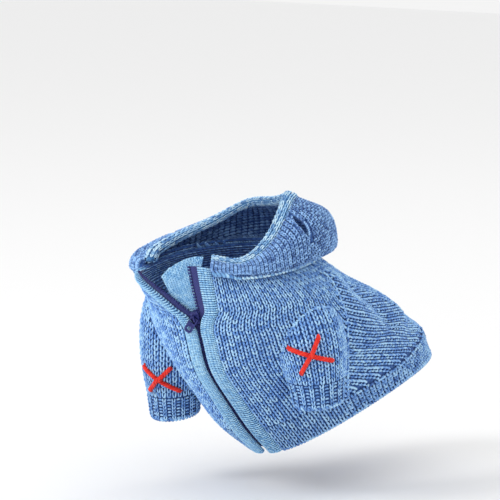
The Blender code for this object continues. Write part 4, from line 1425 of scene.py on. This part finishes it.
@dataclass(frozen=True)
class HoodForm:
    """The worn form of the hood, which lies as a pouch round the neck."""

    body: BodyForm
    reach: float = 0.020
    height: float = 0.042
    tuck: float = 0.016
    sag: float = 0.017
    wall: float = 0.0026
    band_width: float = 0.0085
    band_thickness: float = 0.0042
    middle_turn: float = 0.57
    slot_turn: float = 0.26
    slot_at: float = 0.65
    slot_length: float = 0.022
    slot_width: float = 0.0046
    slot_lean: float = math.radians(4)

    def profile(self, turn: float) -> Array:
        """The points that the hood's wall passes through at one share of the neck seam.

        Args:
            turn: Share of the neck seam.

        Returns:
            Points from the seam to the hood's edge.
        """
        left, right = self.body.span(0.0)
        angle = left + (right - left) * turn
        reach = float(smooth(HOOD_STATIONS, "reach", turn)) * self.reach
        height = float(smooth(HOOD_STATIONS, "height", turn)) * self.height
        tuck = float(smooth(HOOD_STATIONS, "tuck", turn)) * self.tuck
        sag = float(smooth(HOOD_STATIONS, "sag", turn)) * self.sag / self.body.drop
        base = self.body.middle(0.0, angle)
        out = self.body.normal(np.array(0.02), np.array(angle))
        out = unit(np.array([out[0], out[1], 0.0]))
        rise = np.array([0, 0, 1.0])
        lap = self.wall + 2 * self.body.seam_gap
        points = [self.body.wall(p.start + sag * p.sag, angle, lap + reach * p.reach) for p in LAP_POINTS]
        for p in POUCH_POINTS:
            up = height * p.height - sag * self.body.drop * p.sag
            points.append(base + out * (reach * p.reach - tuck * p.tuck) + rise * up)
        return np.array(points)

    def end(self) -> float:
        """Share of the profile where the edge band starts."""
        return 1 - (self.band_width + self.body.seam_gap) / (self.height + self.reach + self.tuck)

    def grid(self, shares: Array, columns: int) -> Array:
        """Points at shares of the profile (rows) round the neck seam (columns)."""
        across = [along_curve(self.profile(t), shares) for t in np.linspace(0, 1, columns)]
        return np.array(across).transpose(1, 0, 2)

    def slot(self, side: Side) -> tuple[Array, Array, Array, Array]:
        """The ear slot's middle, and its ways along, across and out.

        Args:
            side: The wearer's side.

        Returns:
            The point and three unit vectors.
        """
        turn = self.slot_turn if side is Side.LEFT else 2 * self.middle_turn - self.slot_turn

        def at(turn: float, share: float) -> Array:
            """One point of the hood."""
            return along_curve(self.profile(turn), np.array([share]))[0]

        up = unit(at(turn, self.slot_at + 0.1) - at(turn, self.slot_at - 0.1))
        step = 0.02 * side.value
        forward = unit(at(turn - step, self.slot_at) - at(turn + step, self.slot_at))
        length = unit(up * math.cos(self.slot_lean) + forward * math.sin(self.slot_lean))
        normal = unit(np.cross(forward, up))
        return at(turn, self.slot_at), length, unit(np.cross(normal, length)), normal

    def slot_outline(self, side: Side, grow: float, count: int) -> tuple[Array, Array]:
        """Points round the lens-shaped slot, `grow` outside its edge, and its normal.

        Args:
            side: The wearer's side.
            grow: Distance outside the edge.
            count: How many points.

        Returns:
            The points and the normal.
        """
        centre, length, across, normal = self.slot(side)
        a = np.arange(count) * 2 * math.pi / count
        bulge = np.sin(a) * np.abs(np.sin(a)) ** 0.35
        x = np.cos(a) * (self.slot_length / 2 + grow)
        y = bulge * (self.slot_width / 2 + grow)
        return centre + x[:, None] * length + y[:, None] * across, normal


@dataclass
class TorsoPiece:
    """The knitted body, open along the zip and at the armholes."""

    form: BodyForm
    sleeves: list[SleeveForm]
    wardrobe: Wardrobe
    knitter: Knitter
    front_wales: int = 27
    right_wales: int = 20
    front_courses: int = 44
    flank_wales: int = 25
    flank_courses: int = 68
    back_wales: int = 24
    back_courses: int = 46
    seam_yarn: float = 0.0015
    seam_lift: float = 0.0016
    lining_share: float = 0.34
    lining_wales: int = 90
    lining_courses: int = 15

    def build(self) -> None:
        """Makes the ground, the panels of loops, the side seams and the collar's lining."""
        fabric = self.form.fabric(0.0, self.form.foot(), 110, 260)
        ground = shell("body_ground", fabric, 60, 160, 0.0003)
        for sleeve in self.sleeves:
            carve(ground, sleeve.solid("armhole", 0.04, 1.06, -0.0013))
        self.wardrobe.put_on(ground, self.wardrobe.ground, "knit", "body")
        for side in Side:
            kit = MeshKit()
            wales = self.front_wales if side is Side.LEFT else self.right_wales
            front, flank = self.form.front(side, 110, 120), self.form.flank(side, 110, 200)
            self.knitter.loops(kit, front, wales, self.front_courses, LOOP_LIFT, self.in_front)
            self.knitter.loops(kit, flank, self.flank_wales, self.flank_courses, LOOP_LIFT, self.in_flank)
            self.seam(kit, side)
            self.finish(kit, f"body_loops_{side.word}")
        kit = MeshKit()
        back = self.form.back(110, 110)
        self.knitter.loops(kit, back, self.back_wales, self.back_courses, LOOP_LIFT, self.outside)
        self.finish(kit, "body_loops_back")
        kit = MeshKit()
        lining = self.form.fabric(0.0, self.lining_share, 40, 260)
        self.knitter.loops(kit, lining, self.lining_wales, self.lining_courses, LINING_LIFT, self.outside,
                           Stitch.PURL, inside=True)
        self.finish(kit, "body_lining")

    def finish(self, kit: MeshKit, name: str) -> bpy.types.Object:
        """Dresses one panel's loops and puts them on the hoodie."""
        return self.wardrobe.put_on(kit.make(name), self.wardrobe.knit, "knit", "body")

    def seam(self, kit: MeshKit, side: Side) -> None:
        """Adds the linked seam between a front panel and the back.

        Args:
            kit: Where the loops are collected.
            side: The wearer's side.
        """
        alongs = np.linspace(0.03, self.form.foot(), 160)
        angles = side.value * self.form.seam_turn(alongs) * math.pi
        path = self.form.wall(alongs, angles)
        clear = self.clear(path)
        normals = self.form.normal(alongs, angles)
        self.knitter.rope(kit, path[clear], normals[clear], self.seam_yarn, self.seam_lift)

    def clear(self, points: Array) -> Array:
        """Whether points lie outside both armholes."""
        return ~np.any([s.holds(points, 0.0006) for s in self.sleeves], axis=0)

    def outside(self, points: Array, _: Array) -> Array:
        """The same, for any place on the body."""
        return self.clear(points)

    def beyond_seam(self, marks: Array) -> Array:
        """Whether marked places lie on the back's side of the side seams."""
        turn = np.minimum(marks[:, 1], 2 - marks[:, 1])
        return turn > self.form.seam_turn(marks[:, 0])

    def in_front(self, points: Array, marks: Array) -> Array:
        """Whether stitches belong to a front panel."""
        return self.clear(points) & ~self.beyond_seam(marks)

    def in_flank(self, points: Array, marks: Array) -> Array:
        """Whether stitches belong to a side panel."""
        on_body = (marks[:, 0] > 0.0) & (marks[:, 0] < self.form.foot())
        return self.clear(points) & self.beyond_seam(marks) & on_body & (marks[:, 1] < self.form.back_turn)


@dataclass
class HemPiece:
    """The hem: plain knit wales in front and moss stitch, knit and purl in a chequer, round the back."""

    form: BodyForm
    wardrobe: Wardrobe
    knitter: Knitter
    wales: int = 100
    courses: int = 6
    moss_from: float = 0.30
    knit_lift: float = 0.0011
    purl_lift: float = 0.0012

    def build(self) -> None:
        """Makes the hem: plain wales in front and moss stitch round the back."""
        start = self.form.foot() + self.form.seam_gap / self.form.drop
        fabric = self.form.fabric(start, 1.0, 24, 260)
        ground = shell("hem_ground", fabric, 14, 200, 0.0002)
        self.wardrobe.put_on(ground, self.wardrobe.ground, "knit", "hem_rib")
        kit = MeshKit()
        chunky = Knitter(tones=0.16, size=1.12)
        moss = self.courses + 1
        self.knitter.loops(kit, fabric, self.wales, self.courses, LOOP_LIFT, self.plain)
        chunky.loops(kit, fabric, self.wales, moss, self.knit_lift, self.mossy, check=0)
        chunky.loops(kit, fabric, self.wales, moss, self.purl_lift, self.mossy, Stitch.PURL, check=1)
        across = np.linspace(0, 1, 300)
        path, normals = fabric.read(np.ones(300), across)
        self.knitter.rope(kit, path, normals, EDGE_YARN, EDGE_LIFT)
        loops = self.wardrobe.put_on(kit.make("hem_loops"), self.wardrobe.rib, "knit", "hem_rib")

    def mossy(self, _: Array, marks: Array) -> Array:
        """Whether marked places lie where the hem is in moss stitch."""
        return np.abs(marks[:, 1] - 1) < 1 - self.moss_from

    def plain(self, points: Array, marks: Array) -> Array:
        """Whether they lie where it isn't."""
        return ~self.mossy(points, marks)


@dataclass
class SleevePiece:
    """One sleeve with its cuff and the seam round its armhole."""

    form: SleeveForm
    body: BodyForm
    wardrobe: Wardrobe
    knitter: Knitter
    wales: int = 32
    courses: int = 20
    cuff_ribs: int = 17
    cuff_courses: int = 6
    knit_lift: float = 0.0012
    purl_lift: float = 0.0008
    seam_yarn: float = 0.0016

    def torso(self) -> BVHTree:
        """The closed form of the body, for telling what lies inside it.

        Returns:
            A tree of its faces.
        """
        rings = self.body.rings(0.0013)
        rows, around = rings.shape[:2]
        i, j = (a.ravel() for a in np.meshgrid(np.arange(rows - 1), np.arange(around), indexing="ij"))
        k = (j + 1) % around
        quads = np.stack([i * around + j, (i + 1) * around + j, (i + 1) * around + k, i * around + k], -1)
        return BVHTree.FromPolygons([Vector(p) for p in rings.reshape(-1, 3)], quads.tolist())

    def outside(self, tree: BVHTree, points: Array, margin: float = 0.0) -> Array:
        """Whether points lie at least `margin` outside the body.

        Args:
            tree: The body's closed form.
            points: (n, 3) points.
            margin: Distance, in metres.

        Returns:
            One truth value for each point.
        """
        result = np.zeros(len(points), bool)
        for i, p in enumerate(points):
            near, normal, _, _ = tree.find_nearest(Vector(p))
            result[i] = (Vector(p) - near).dot(normal) > margin
        return result

    def seam(self, tree: BVHTree) -> tuple[Array, Array]:
        """The line where the sleeve leaves the body, and its normals.

        Args:
            tree: The body's closed form.

        Returns:
            The points and the normals.
        """
        alongs = np.linspace(0.02, 0.9, 110)
        path, normals = [], []
        for angle in np.linspace(0, 2 * math.pi, 90)[:-1]:
            line = self.form.point(alongs, angle, 0.0008)
            inside = np.flatnonzero(~self.outside(tree, line))
            at = alongs[min(inside[-1] + 1, len(alongs) - 1)] if len(inside) else alongs[0]
            point = self.form.point(at, angle, 0.0008)
            near = tree.find_nearest(Vector(point))
            path.append(point)
            out = self.form.point(at, angle, 0.01) - self.form.point(at, angle)
            normals.append(unit(unit(out) + np.array(near[1])))
        return np.array(path), np.array(normals)

    def build(self) -> None:
        """Makes the sleeve, its cuff and its seam."""
        word = self.form.side.word
        tree = self.torso()
        start = self.form.cuff_start()
        fabric = self.form.fabric(0.0, start - 0.004)
        ground = shell(f"sleeve_ground_{word}", fabric, 40, 97, 0.0004)
        carve(ground, loft_mesh("chest", self.body.rings(0.0010)))
        self.wardrobe.put_on(ground, self.wardrobe.ground, "knit", f"sleeve_{word}")
        kit = MeshKit()
        self.knitter.loops(kit, fabric, self.wales, self.courses, LOOP_LIFT,
                           lambda p, _: self.outside(tree, p))
        path, normals = self.seam(tree)
        self.knitter.rope(kit, path, normals, self.seam_yarn, EDGE_LIFT, closed=True)
        loops = kit.make(f"sleeve_loops_{word}")
        self.wardrobe.put_on(loops, self.wardrobe.knit, "knit", f"sleeve_{word}")
        self.cuff(tree, start)

    def cuff(self, tree: BVHTree, start: float) -> None:
        """Makes the ribbed cuff.

        Args:
            tree: The body's closed form.
            start: Share of the sleeve where the cuff starts.
        """
        word = self.form.side.word
        fabric = self.form.fabric(start, 1.0, 24)
        ground = shell(f"cuff_ground_{word}", fabric, 12, 97, 0.0001)
        self.wardrobe.put_on(ground, self.wardrobe.ground, "knit", f"cuff_{word}")
        kit = MeshKit()
        wales = 2 * self.cuff_ribs

        def keep(points: Array, _: Array) -> Array:
            """Whether points lie outside the body."""
            return self.outside(tree, points)

        chunky = Knitter(tones=0.15, size=1.1)
        knit, purl = np.arange(0, wales, 2), np.arange(1, wales, 2)
        chunky.loops(kit, fabric, wales, self.cuff_courses, self.knit_lift, keep, columns=knit)
        chunky.loops(kit, fabric, wales, self.cuff_courses + 1, self.purl_lift, keep, Stitch.PURL, purl)
        across = np.linspace(0, 1, 120)[:-1]
        path, normals = fabric.read(np.ones(119), across)
        self.knitter.rope(kit, path, normals, EDGE_YARN, EDGE_LIFT, closed=True)
        loops = kit.make(f"cuff_loops_{word}")
        self.wardrobe.put_on(loops, self.wardrobe.rib, "knit", f"cuff_{word}")


@dataclass
class HoodPiece:
    """The hood with its ear slots, the light band round its edge and a painted highlight along its lower
    fold.
    """

    form: HoodForm
    wardrobe: Wardrobe
    knitter: Knitter
    wales: int = 98
    courses: int = 35
    lining_wales: int = 78
    lining_courses: int = 26
    purl_lift: float = 0.0011
    rim_yarn: float = 0.0013
    rim_lift: float = 0.0006
    # The rope along the pouch's lower fold, a painted highlight: its yarn, its lift, and how far above the
    # lowest row it runs.
    rope_yarn: float = 0.0026
    rope_lift: float = 0.0014
    rope_up: float = 0.04
    slot_margin: tuple[float, float] = (0.0014, 0.0012)

    def build(self) -> None:
        """Makes the hood and its band."""
        shares = np.linspace(self.form.end(), 0.0, 80)
        fabric = Fabric(self.form.grid(shares, 200))
        ground = shell("hood_ground", fabric, 60, 160, 0.0004)
        kit, light = MeshKit(), MeshKit()
        for side in Side:
            outline, normal = self.form.slot_outline(side, 0.0, 32)
            carve(ground, loft_mesh("slot", np.array([outline - normal * 0.01, outline + normal * 0.01])))
            edge, _ = self.form.slot_outline(side, 0.0006, 80)
            self.knitter.rope(kit, *fabric.snapped(edge), self.rim_yarn, self.rim_lift, closed=True)
        self.wardrobe.put_on(ground, self.wardrobe.ground, "knit", "hood")
        # Painted highlight: a raised rope of the light band yarn along the pouch's lower fold stands for
        # the light on that ridge.
        lowest = np.argmin(fabric.points[:, :, 2], axis=0)
        lowest = np.convolve(np.pad(lowest, 22, mode="edge"), np.ones(45) / 45, mode="valid")
        down = lowest / (len(fabric.points) - 1) - self.rope_up
        line = fabric.read(down, np.linspace(0, 1, len(down)))
        self.knitter.rope(light, *line, self.rope_yarn, self.rope_lift)
        rims = self.wardrobe.put_on(light.make("hood_fold_highlight"), self.wardrobe.band, "knit", "hood")
        speckled = Knitter(wale=0.0033, depth=0.0008, tones=0.16, seed=3)
        speckled.loops(kit, fabric, self.wales, self.courses, LOOP_LIFT, self.keep, check=0)
        speckled.loops(kit, fabric, self.wales, self.courses, self.purl_lift, self.keep, Stitch.PURL,
                       check=1)
        loops = self.wardrobe.put_on(kit.make("hood_loops"), self.wardrobe.hood, "knit", "hood")
        kit = MeshKit()
        self.knitter.loops(kit, fabric, self.lining_wales, self.lining_courses, LINING_LIFT, self.keep,
                           Stitch.PURL, inside=True)
        lining = self.wardrobe.put_on(kit.make("hood_lining"), self.wardrobe.hood, "knit", "hood")
        self.band()

    def keep(self, points: Array, _: Array) -> Array:
        """Whether points lie outside the ear slots.

        Args:
            points: (n, 3) points.
            _: Their marks, which aren't needed.

        Returns:
            One truth value for each point.
        """
        good = np.ones(len(points), bool)
        for side in Side:
            centre, length, across, normal = self.form.slot(side)
            q = points - centre
            x, y, z = q @ length, q @ across, q @ normal
            a = x / (self.form.slot_length / 2 + self.slot_margin[0])
            b = y / (self.form.slot_width / 2 + self.slot_margin[1])
            good &= (a**2 + b**2 > 1) | (np.abs(z) > 0.01)
        return good

    def band(self) -> None:
        """Makes the light ribbed band along the hood's edge."""
        grid = self.form.grid(np.array([self.form.end(), 1.0]), 220)
        rim = grid[0]
        inward = unit(grid[1] - grid[0])
        normal = unit(np.cross(unit(np.gradient(rim, axis=0)), inward))
        middle = rim + inward * (self.form.band_width / 2 + self.form.body.seam_gap)
        RolledBand("hood_band", middle, inward, normal, self.form.band_width, self.form.band_thickness,
                   self.wardrobe, Roll.WALES).build()


@dataclass
class RolledBand:
    """A soft knitted roll along an edge, whose middle line, ways across and ways out are (n, 3) arrays."""

    name: str
    middle: Array
    across: Array
    out: Array
    width: float
    thickness: float
    wardrobe: Wardrobe
    roll: Roll
    sides: int = 28
    squareness: float = 2.5
    skin: float = 0.0005
    fill: float = 0.8
    wales: int = 8
    wale_lift: float = 0.0002
    rib_pitch: float = 0.0017
    rib_parts: int = 14
    rib_reach: float = 0.66
    rib_lean: float = 0.08
    rib_depth: float = 0.0006
    rib_radius: float = 0.00063
    rib_wander: float = 0.06
    rib_tones: float = 0.09
    rib_seed: int = 11

    def build(self) -> None:
        """Makes the roll's ground and its loops or ribs."""
        a = np.arange(self.sides) * 2 * math.pi / self.sides
        power = 2 / self.squareness
        x = np.sign(np.cos(a)) * np.abs(np.cos(a)) ** power * self.width / 2
        y = np.sign(np.sin(a)) * np.abs(np.sin(a)) ** power * self.thickness / 2
        centre = self.middle[:, None]
        rings = centre + self.across[:, None] * x[:, None] + self.out[:, None] * y[:, None]
        fabric = Fabric(rings, closed=True)
        if ((fabric.points[:, :-1] - centre) * fabric.normals[:, :-1]).sum() < 0:
            fabric.normals = -fabric.normals
        inner = centre + (rings - centre) * (1 - self.skin / self.thickness * 2)
        ground = loft_mesh(f"{self.name}_ground", inner)
        face_outwards(ground.data)
        self.wardrobe.put_on(ground, self.wardrobe.light_ground, "light_knit", self.name)
        length = np.linalg.norm(np.diff(self.middle, axis=0), axis=1).sum()
        kit = MeshKit()
        if self.roll is Roll.WALES:
            finish = self.wardrobe.band
            chunky = Knitter(wale=0.0029, course=0.0027, depth=0.0009, tones=0.22, seed=5)
            chunky.loops(kit, fabric, self.wales, int(length / chunky.course), self.wale_lift)
        else:
            finish = self.wardrobe.edge
            self.ribs(kit, fabric, int(length / self.rib_pitch))
        self.wardrobe.put_on(kit.make(f"{self.name}_loops"), finish, "light_knit", self.name)

    def ribs(self, kit: MeshKit, fabric: Fabric, rows: int) -> None:
        """Adds fine flat ribs round the roll.

        Args:
            kit: Where they are collected.
            fabric: The roll's surface.
            rows: How many lie along it.
        """
        chance = np.random.default_rng(self.rib_seed)
        down = (np.arange(rows) + 0.5) / rows
        lift = np.array([-0.35, 0.15, 0.3, 0.15, -0.35]) * self.rib_depth
        profile = np.array([0, 0.95, 1.0, 0.95, 0]) * self.rib_radius
        for k in range(self.rib_parts):
            c = (k + np.linspace(-self.rib_reach, self.rib_reach, 5)) / self.rib_parts
            lean = np.linspace(self.rib_lean, -self.rib_lean, 5) / rows
            p, n = fabric.read(np.repeat(down[:, None], 5, 1) + lean, np.repeat(c[None], rows, 0))
            radii = profile * chance.normal(1, self.rib_wander, rows)[:, None]
            tone = np.clip(chance.normal(0.5, self.rib_tones, rows), 0, 1)
            kit.tubes(p + n * lift[:, None], n, radii, tone)


@dataclass
class ZipPiece:
    """One side of the zip: its edge band, woven tape and row of teeth."""

    side: Side
    form: BodyForm
    wardrobe: Wardrobe
    band_floor: float = -0.0012
    band_thickness: float = 0.0036
    tape_width: float = 0.0105
    tape_thickness: float = 0.0007
    teeth_width: float = 0.0016
    teeth_depth: float = 0.0017
    teeth_pitch: float = 0.0021
    foot: float = 0.985

    def tape_top(self) -> float:
        """Height of the tape's upper face over the wall's middle."""
        return self.band_floor - 2 * self.form.seam_gap

    def build(self) -> None:
        """Makes the band, the tape and the teeth."""
        self.band()
        self.tape()

    def band(self) -> None:
        """Makes the padded band beside the teeth."""
        alongs = np.linspace(0.0, 1.0, 130)
        height = self.band_floor + self.band_thickness / 2
        centre, near, above = [], [], []
        for along in alongs:
            gap = self.form.band_gap(along) + self.form.band_width / 2
            centre.append(self.form.strip(self.side, along, gap, height))
            near.append(self.form.strip(self.side, along, gap + 0.002, height))
            above.append(self.form.strip(self.side, along, gap, height + 0.002))
        middle = np.array(centre)
        RolledBand(f"zip_band_{self.side.word}", middle, unit(np.array(near) - middle),
                   unit(np.array(above) - middle), self.form.band_width, self.band_thickness,
                   self.wardrobe, Roll.RIBS).build()

    def tape(self) -> None:
        """Makes the woven tape and its row of separate teeth."""
        word = self.side.word
        near = self.form.seam_gap / 2
        top = self.tape_top()
        alongs = np.linspace(0.0, self.foot, 120)
        arcs = np.linspace(near + self.teeth_width * 0.45, near + self.tape_width, 7)
        outer = np.array([[self.form.strip(self.side, s, a, top) for a in arcs] for s in alongs])
        inner = np.array([[self.form.strip(self.side, s, a, top - self.tape_thickness) for a in arcs]
                          for s in alongs])
        tape = wall_mesh(f"zip_cloth_{word}", outer, inner)
        face_outwards(tape.data)
        self.wardrobe.put_on(tape, self.wardrobe.tape, "navy_tape", f"zip_tape_{word}")
        fine = np.linspace(0.0, self.foot, 400)
        line = np.array([self.form.strip(self.side, s, near + self.teeth_width * 0.4, top) for s in fine])
        walked = np.concatenate([[0], np.cumsum(np.linalg.norm(np.diff(line, axis=0), axis=1))])
        count = int(walked[-1] / self.teeth_pitch)
        shift = 0.5 if self.side is Side.RIGHT else 0.0
        at = np.interp((np.arange(count) + 0.25 + shift) * self.teeth_pitch, walked, fine)
        rest = self.tape_top() - self.tape_thickness + self.teeth_depth / 2
        paths, normals = [], []
        for s in at:
            arcs = np.array([-0.0007, -0.0004, 0.0004, 0.0012, 0.0016])
            paths.append([self.form.strip(self.side, s, near + a, rest) for a in arcs])
            normals.append([self.form.normal(np.array(s), np.array(0.0))] * 5)
        kit = MeshKit()
        radii = np.array([0, 0.95, 0.80, 0.95, 0]) * 0.00088
        kit.tubes(np.array(paths), np.array(normals), radii, np.full(count, 0.5), sides=8, flat=0.95)
        teeth = kit.make(f"zip_teeth_{word}")
        self.wardrobe.put_on(teeth, self.wardrobe.enamel, "navy_metal", f"zip_tape_{word}")


@dataclass
class GuardPiece:
    """The light flap behind the zip, which shows in its open top."""

    form: BodyForm
    wardrobe: Wardrobe
    sewn: float = 0.0098
    right: float = 0.0200
    top: float = -0.05
    foot: float = 0.78
    droop: float = 0.095
    droop_to: float = 0.3
    droop_power: float = 1.9
    thickness: float = 0.0013
    slider_width: float = 0.0068
    ramp: float = 0.0022
    sewn_lift: float = -0.0028
    free_lift: float = -0.00445

    def build(self) -> None:
        """Makes the flap as a fine smooth knit."""
        rows, columns = 60, 34
        points = np.zeros((rows, columns, 3))
        for i, along in enumerate(np.linspace(self.top, self.foot, rows)):
            edge = self.form.zip_edge(Side.LEFT, along)
            left = edge + self.sewn
            slack = max(0.0, 1 - max(along, 0.0) / self.droop_to)
            for j, arc in enumerate(np.linspace(left, -self.right, columns)):
                free = max(0.0, (left - arc) / (left + self.right))
                low = along + self.droop * slack * free**self.droop_power
                share = float(eased((arc - edge - self.slider_width / 2 - self.form.seam_gap) / self.ramp))
                lift = self.free_lift + (self.sewn_lift - self.free_lift) * share
                points[i, j] = self.form.wall(low, self.form.angle_at(low, arc), lift - self.thickness / 2)
        fabric = Fabric(points, flipped=True)
        over, under = self.thickness * 0.3, -self.thickness * 0.5
        ground = shell("zip_guard_ground", fabric, rows, columns, over, under)
        face_outwards(ground.data)
        self.wardrobe.put_on(ground, self.wardrobe.light_ground, "light_knit", "zip_guard")
        kit = MeshKit()
        fine = Knitter(wale=0.0024, course=0.0019, depth=0.0005, seed=21)
        fine.loops(kit, fabric, 15, 62, self.thickness * 0.32)
        loops = kit.make("zip_guard_loops")
        self.wardrobe.put_on(loops, self.wardrobe.edge, "light_knit", "zip_guard")


class Cross(NamedTuple):
    """A crossed pair of stitches; leans in degrees from level, lengths in shares of the span."""

    side: Side
    along: float
    turn: float
    lean_a: float
    length_a: float
    lean_b: float
    length_b: float


CROSSES = [
    Cross(Side.LEFT, 0.485, 38, -20, 1.00, 55, 1.00),
    Cross(Side.RIGHT, 0.68, -10, 34, 1.10, -47, 0.85),
]


@dataclass
class CrossPiece:
    """Two strands of thick twisted yarn, one passing over the other."""

    cross: Cross
    form: SleeveForm
    wardrobe: Wardrobe
    yarn: float = 0.0030
    span: float = 0.031
    wall: float = 0.0026
    plies: int = 3
    pitch: float = 0.0065

    def strand(self, lean: float, length: float, over: float, label: str) -> None:
        """Makes one strand.

        Args:
            lean: Degrees from level.
            length: Share of the span.
            over: 1 for the strand on top, 0 for the one below.
            label: The end of its node's name.
        """
        count = 46
        t = np.linspace(-1, 1, count)
        reach = self.span * length / 2
        tall = self.form.drop - self.form.head_drop
        along = self.cross.along - t * reach * math.sin(math.radians(lean)) / tall
        radius = smooth(SLEEVE_RINGS, "radius", along) * self.form.radius
        angle = math.radians(self.cross.turn) + t * reach * math.cos(math.radians(lean)) / radius
        hump = over * (self.yarn * 0.9 + 0.0003) * np.exp(-((t / 0.3) ** 2))
        dive = 0.0022 * eased((np.abs(t) - 0.84) / 0.16)
        centre = self.form.point(along, angle, self.wall / 2 + 0.0003 + self.yarn * 0.45 + hump - dive)
        out = unit(self.form.point(along, angle, 0.01) - self.form.point(along, angle))
        tangent = unit(np.gradient(centre, axis=0))
        side = unit(np.cross(tangent, out))
        up = np.cross(side, tangent)
        kit = MeshKit()
        walked = (t + 1) * reach
        for k in range(self.plies):
            phase = walked / self.pitch * 2 * math.pi + k * 2 * math.pi / self.plies
            shift = side * np.cos(phase)[:, None] + up * 0.85 * np.sin(phase)[:, None]
            path = centre + shift * self.yarn * 0.29
            radii = np.full(count, self.yarn * 0.30)
            tone = np.array([0.35 + 0.15 * k])
            kit.tubes(path[None], out[None], radii[None], tone, sides=9, flat=1.0, turns=6.0)
        word = self.form.side.word
        yarn = kit.make(f"cross_yarn_{word}_{label}")
        self.wardrobe.put_on(yarn, self.wardrobe.red, "red_yarn", f"cross_{word}_{label}")

    def build(self) -> None:
        """Makes both strands."""
        self.strand(self.cross.lean_a, self.cross.length_a, 0.0, "under")
        self.strand(self.cross.lean_b, self.cross.length_b, 1.0, "over")


@dataclass
class Hardware:
    """The zip's slider and pull, whose solids have the true shape."""

    wardrobe: Wardrobe

    def build(self, nodes: dict[str, bpy.types.Object]) -> None:
        """Gives both solids their enamel.

        Args:
            nodes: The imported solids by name.
        """
        for name in ("zip_slider", "zip_pull"):
            self.wardrobe.dress(nodes[name], self.wardrobe.enamel)
            log.info("%-22s keeps its solid", name)


class Lamp(NamedTuple):
    """A soft square light that points at the garment: its place, its side in metres and its watts."""

    name: str
    place: tuple[float, float, float]
    size: float
    power: float


LAMPS = [
    Lamp("key", (-0.9, -1.7, 1.4), 0.9, 20),
    Lamp("fill", (1.2, -1.6, 0.5), 1.4, 2),
    Lamp("back", (0.2, 1.6, 1.6), 1.0, 3),
]


@dataclass
class Studio:
    """A pale floor, soft light and the camera."""

    azimuth: float = math.radians(38)
    elevation: float = math.radians(8)
    distance: float = 2.4
    frame_width: float = 0.345
    right: float = 0.0102
    up: float = 0.0082
    floor: float = -0.165
    floor_half: float = 4.0
    aim: tuple[float, float, float] = (0.0, 0.04, -0.04)
    sky: float = 0.91

    def build(self) -> None:
        """Makes the floor, the lights and the camera."""
        self.ground()
        for lamp in LAMPS:
            self.light(lamp)
        world = bpy.data.worlds.new("studio")
        bpy.context.scene.world = world
        world.use_nodes = True
        sky = world.node_tree.nodes["Background"]
        sky.inputs[0].default_value = (1.0, 1.0, 1.0, 1)
        sky.inputs[1].default_value = self.sky
        bpy.context.scene.view_settings.view_transform = "Standard"
        self.camera()

    def ground(self) -> None:
        """Makes the floor."""
        mesh = bpy.data.meshes.new("floor")
        s = self.floor_half
        corners = [(x, y, self.floor) for x, y in ((-s, -s), (s, -s), (s, s), (-s, s))]
        mesh.from_pydata(corners, [], [(0, 1, 2, 3)])
        floor = linked("floor", mesh)
        g = Graph("floor")
        mesh.materials.append(g.surface({"Base Color": (0.92, 0.92, 0.92, 1), "Roughness": 0.9}))

    def light(self, lamp: Lamp) -> None:
        """Makes one light.

        Args:
            lamp: Its row of the table.
        """
        data = bpy.data.lights.new(lamp.name, "AREA")
        data.size = lamp.size
        data.energy = lamp.power
        obj = bpy.data.objects.new(lamp.name, data)
        obj.location = lamp.place
        obj.rotation_euler = (Vector(self.aim) - Vector(lamp.place)).to_track_quat("-Z", "Y").to_euler()
        bpy.context.scene.collection.objects.link(obj)

    def camera(self) -> None:
        """Makes the camera at the photograph's angle."""
        back = Vector((math.sin(self.azimuth) * math.cos(self.elevation),
                       -math.cos(self.azimuth) * math.cos(self.elevation), math.sin(self.elevation)))
        right = Vector((0, 0, 1)).cross(back).normalized()
        up = back.cross(right)
        centre = right * self.right + up * self.up
        data = bpy.data.cameras.new("camera")
        data.sensor_width = 36.0
        data.lens = data.sensor_width * self.distance / self.frame_width
        data.clip_end = 20.0
        camera = bpy.data.objects.new("camera", data)
        camera.location = centre + back * self.distance
        camera.rotation_euler = (-back).to_track_quat("-Z", "Y").to_euler()
        bpy.context.scene.collection.objects.link(camera)
        bpy.context.scene.camera = camera


def main() -> None:
    """Builds every sub-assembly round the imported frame."""
    logging.basicConfig(level=logging.INFO, format="%(message)s")
    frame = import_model()
    Studio().build()
    wardrobe = Wardrobe()
    knitter = Knitter()
    body = BodyForm()
    sleeves = [SleeveForm(Side.LEFT, drop=0.091, back=0.0075, head_back=0.0090),
               SleeveForm(Side.RIGHT, drop=0.115, back=0.0155, head_back=-0.0025)]
    TorsoPiece(body, sleeves, wardrobe, knitter).build()
    HemPiece(body, wardrobe, knitter).build()
    for sleeve in sleeves:
        SleevePiece(sleeve, body, wardrobe, knitter).build()
    HoodPiece(HoodForm(body), wardrobe, knitter).build()
    for side in Side:
        ZipPiece(side, body, wardrobe).build()
    GuardPiece(body, wardrobe).build()
    for cross in CROSSES:
        form = next(s for s in sleeves if s.side is cross.side)
        CrossPiece(cross, form, wardrobe).build()
    Hardware(wardrobe).build(frame["nodes"])


if __name__ == "__main__":
    main()
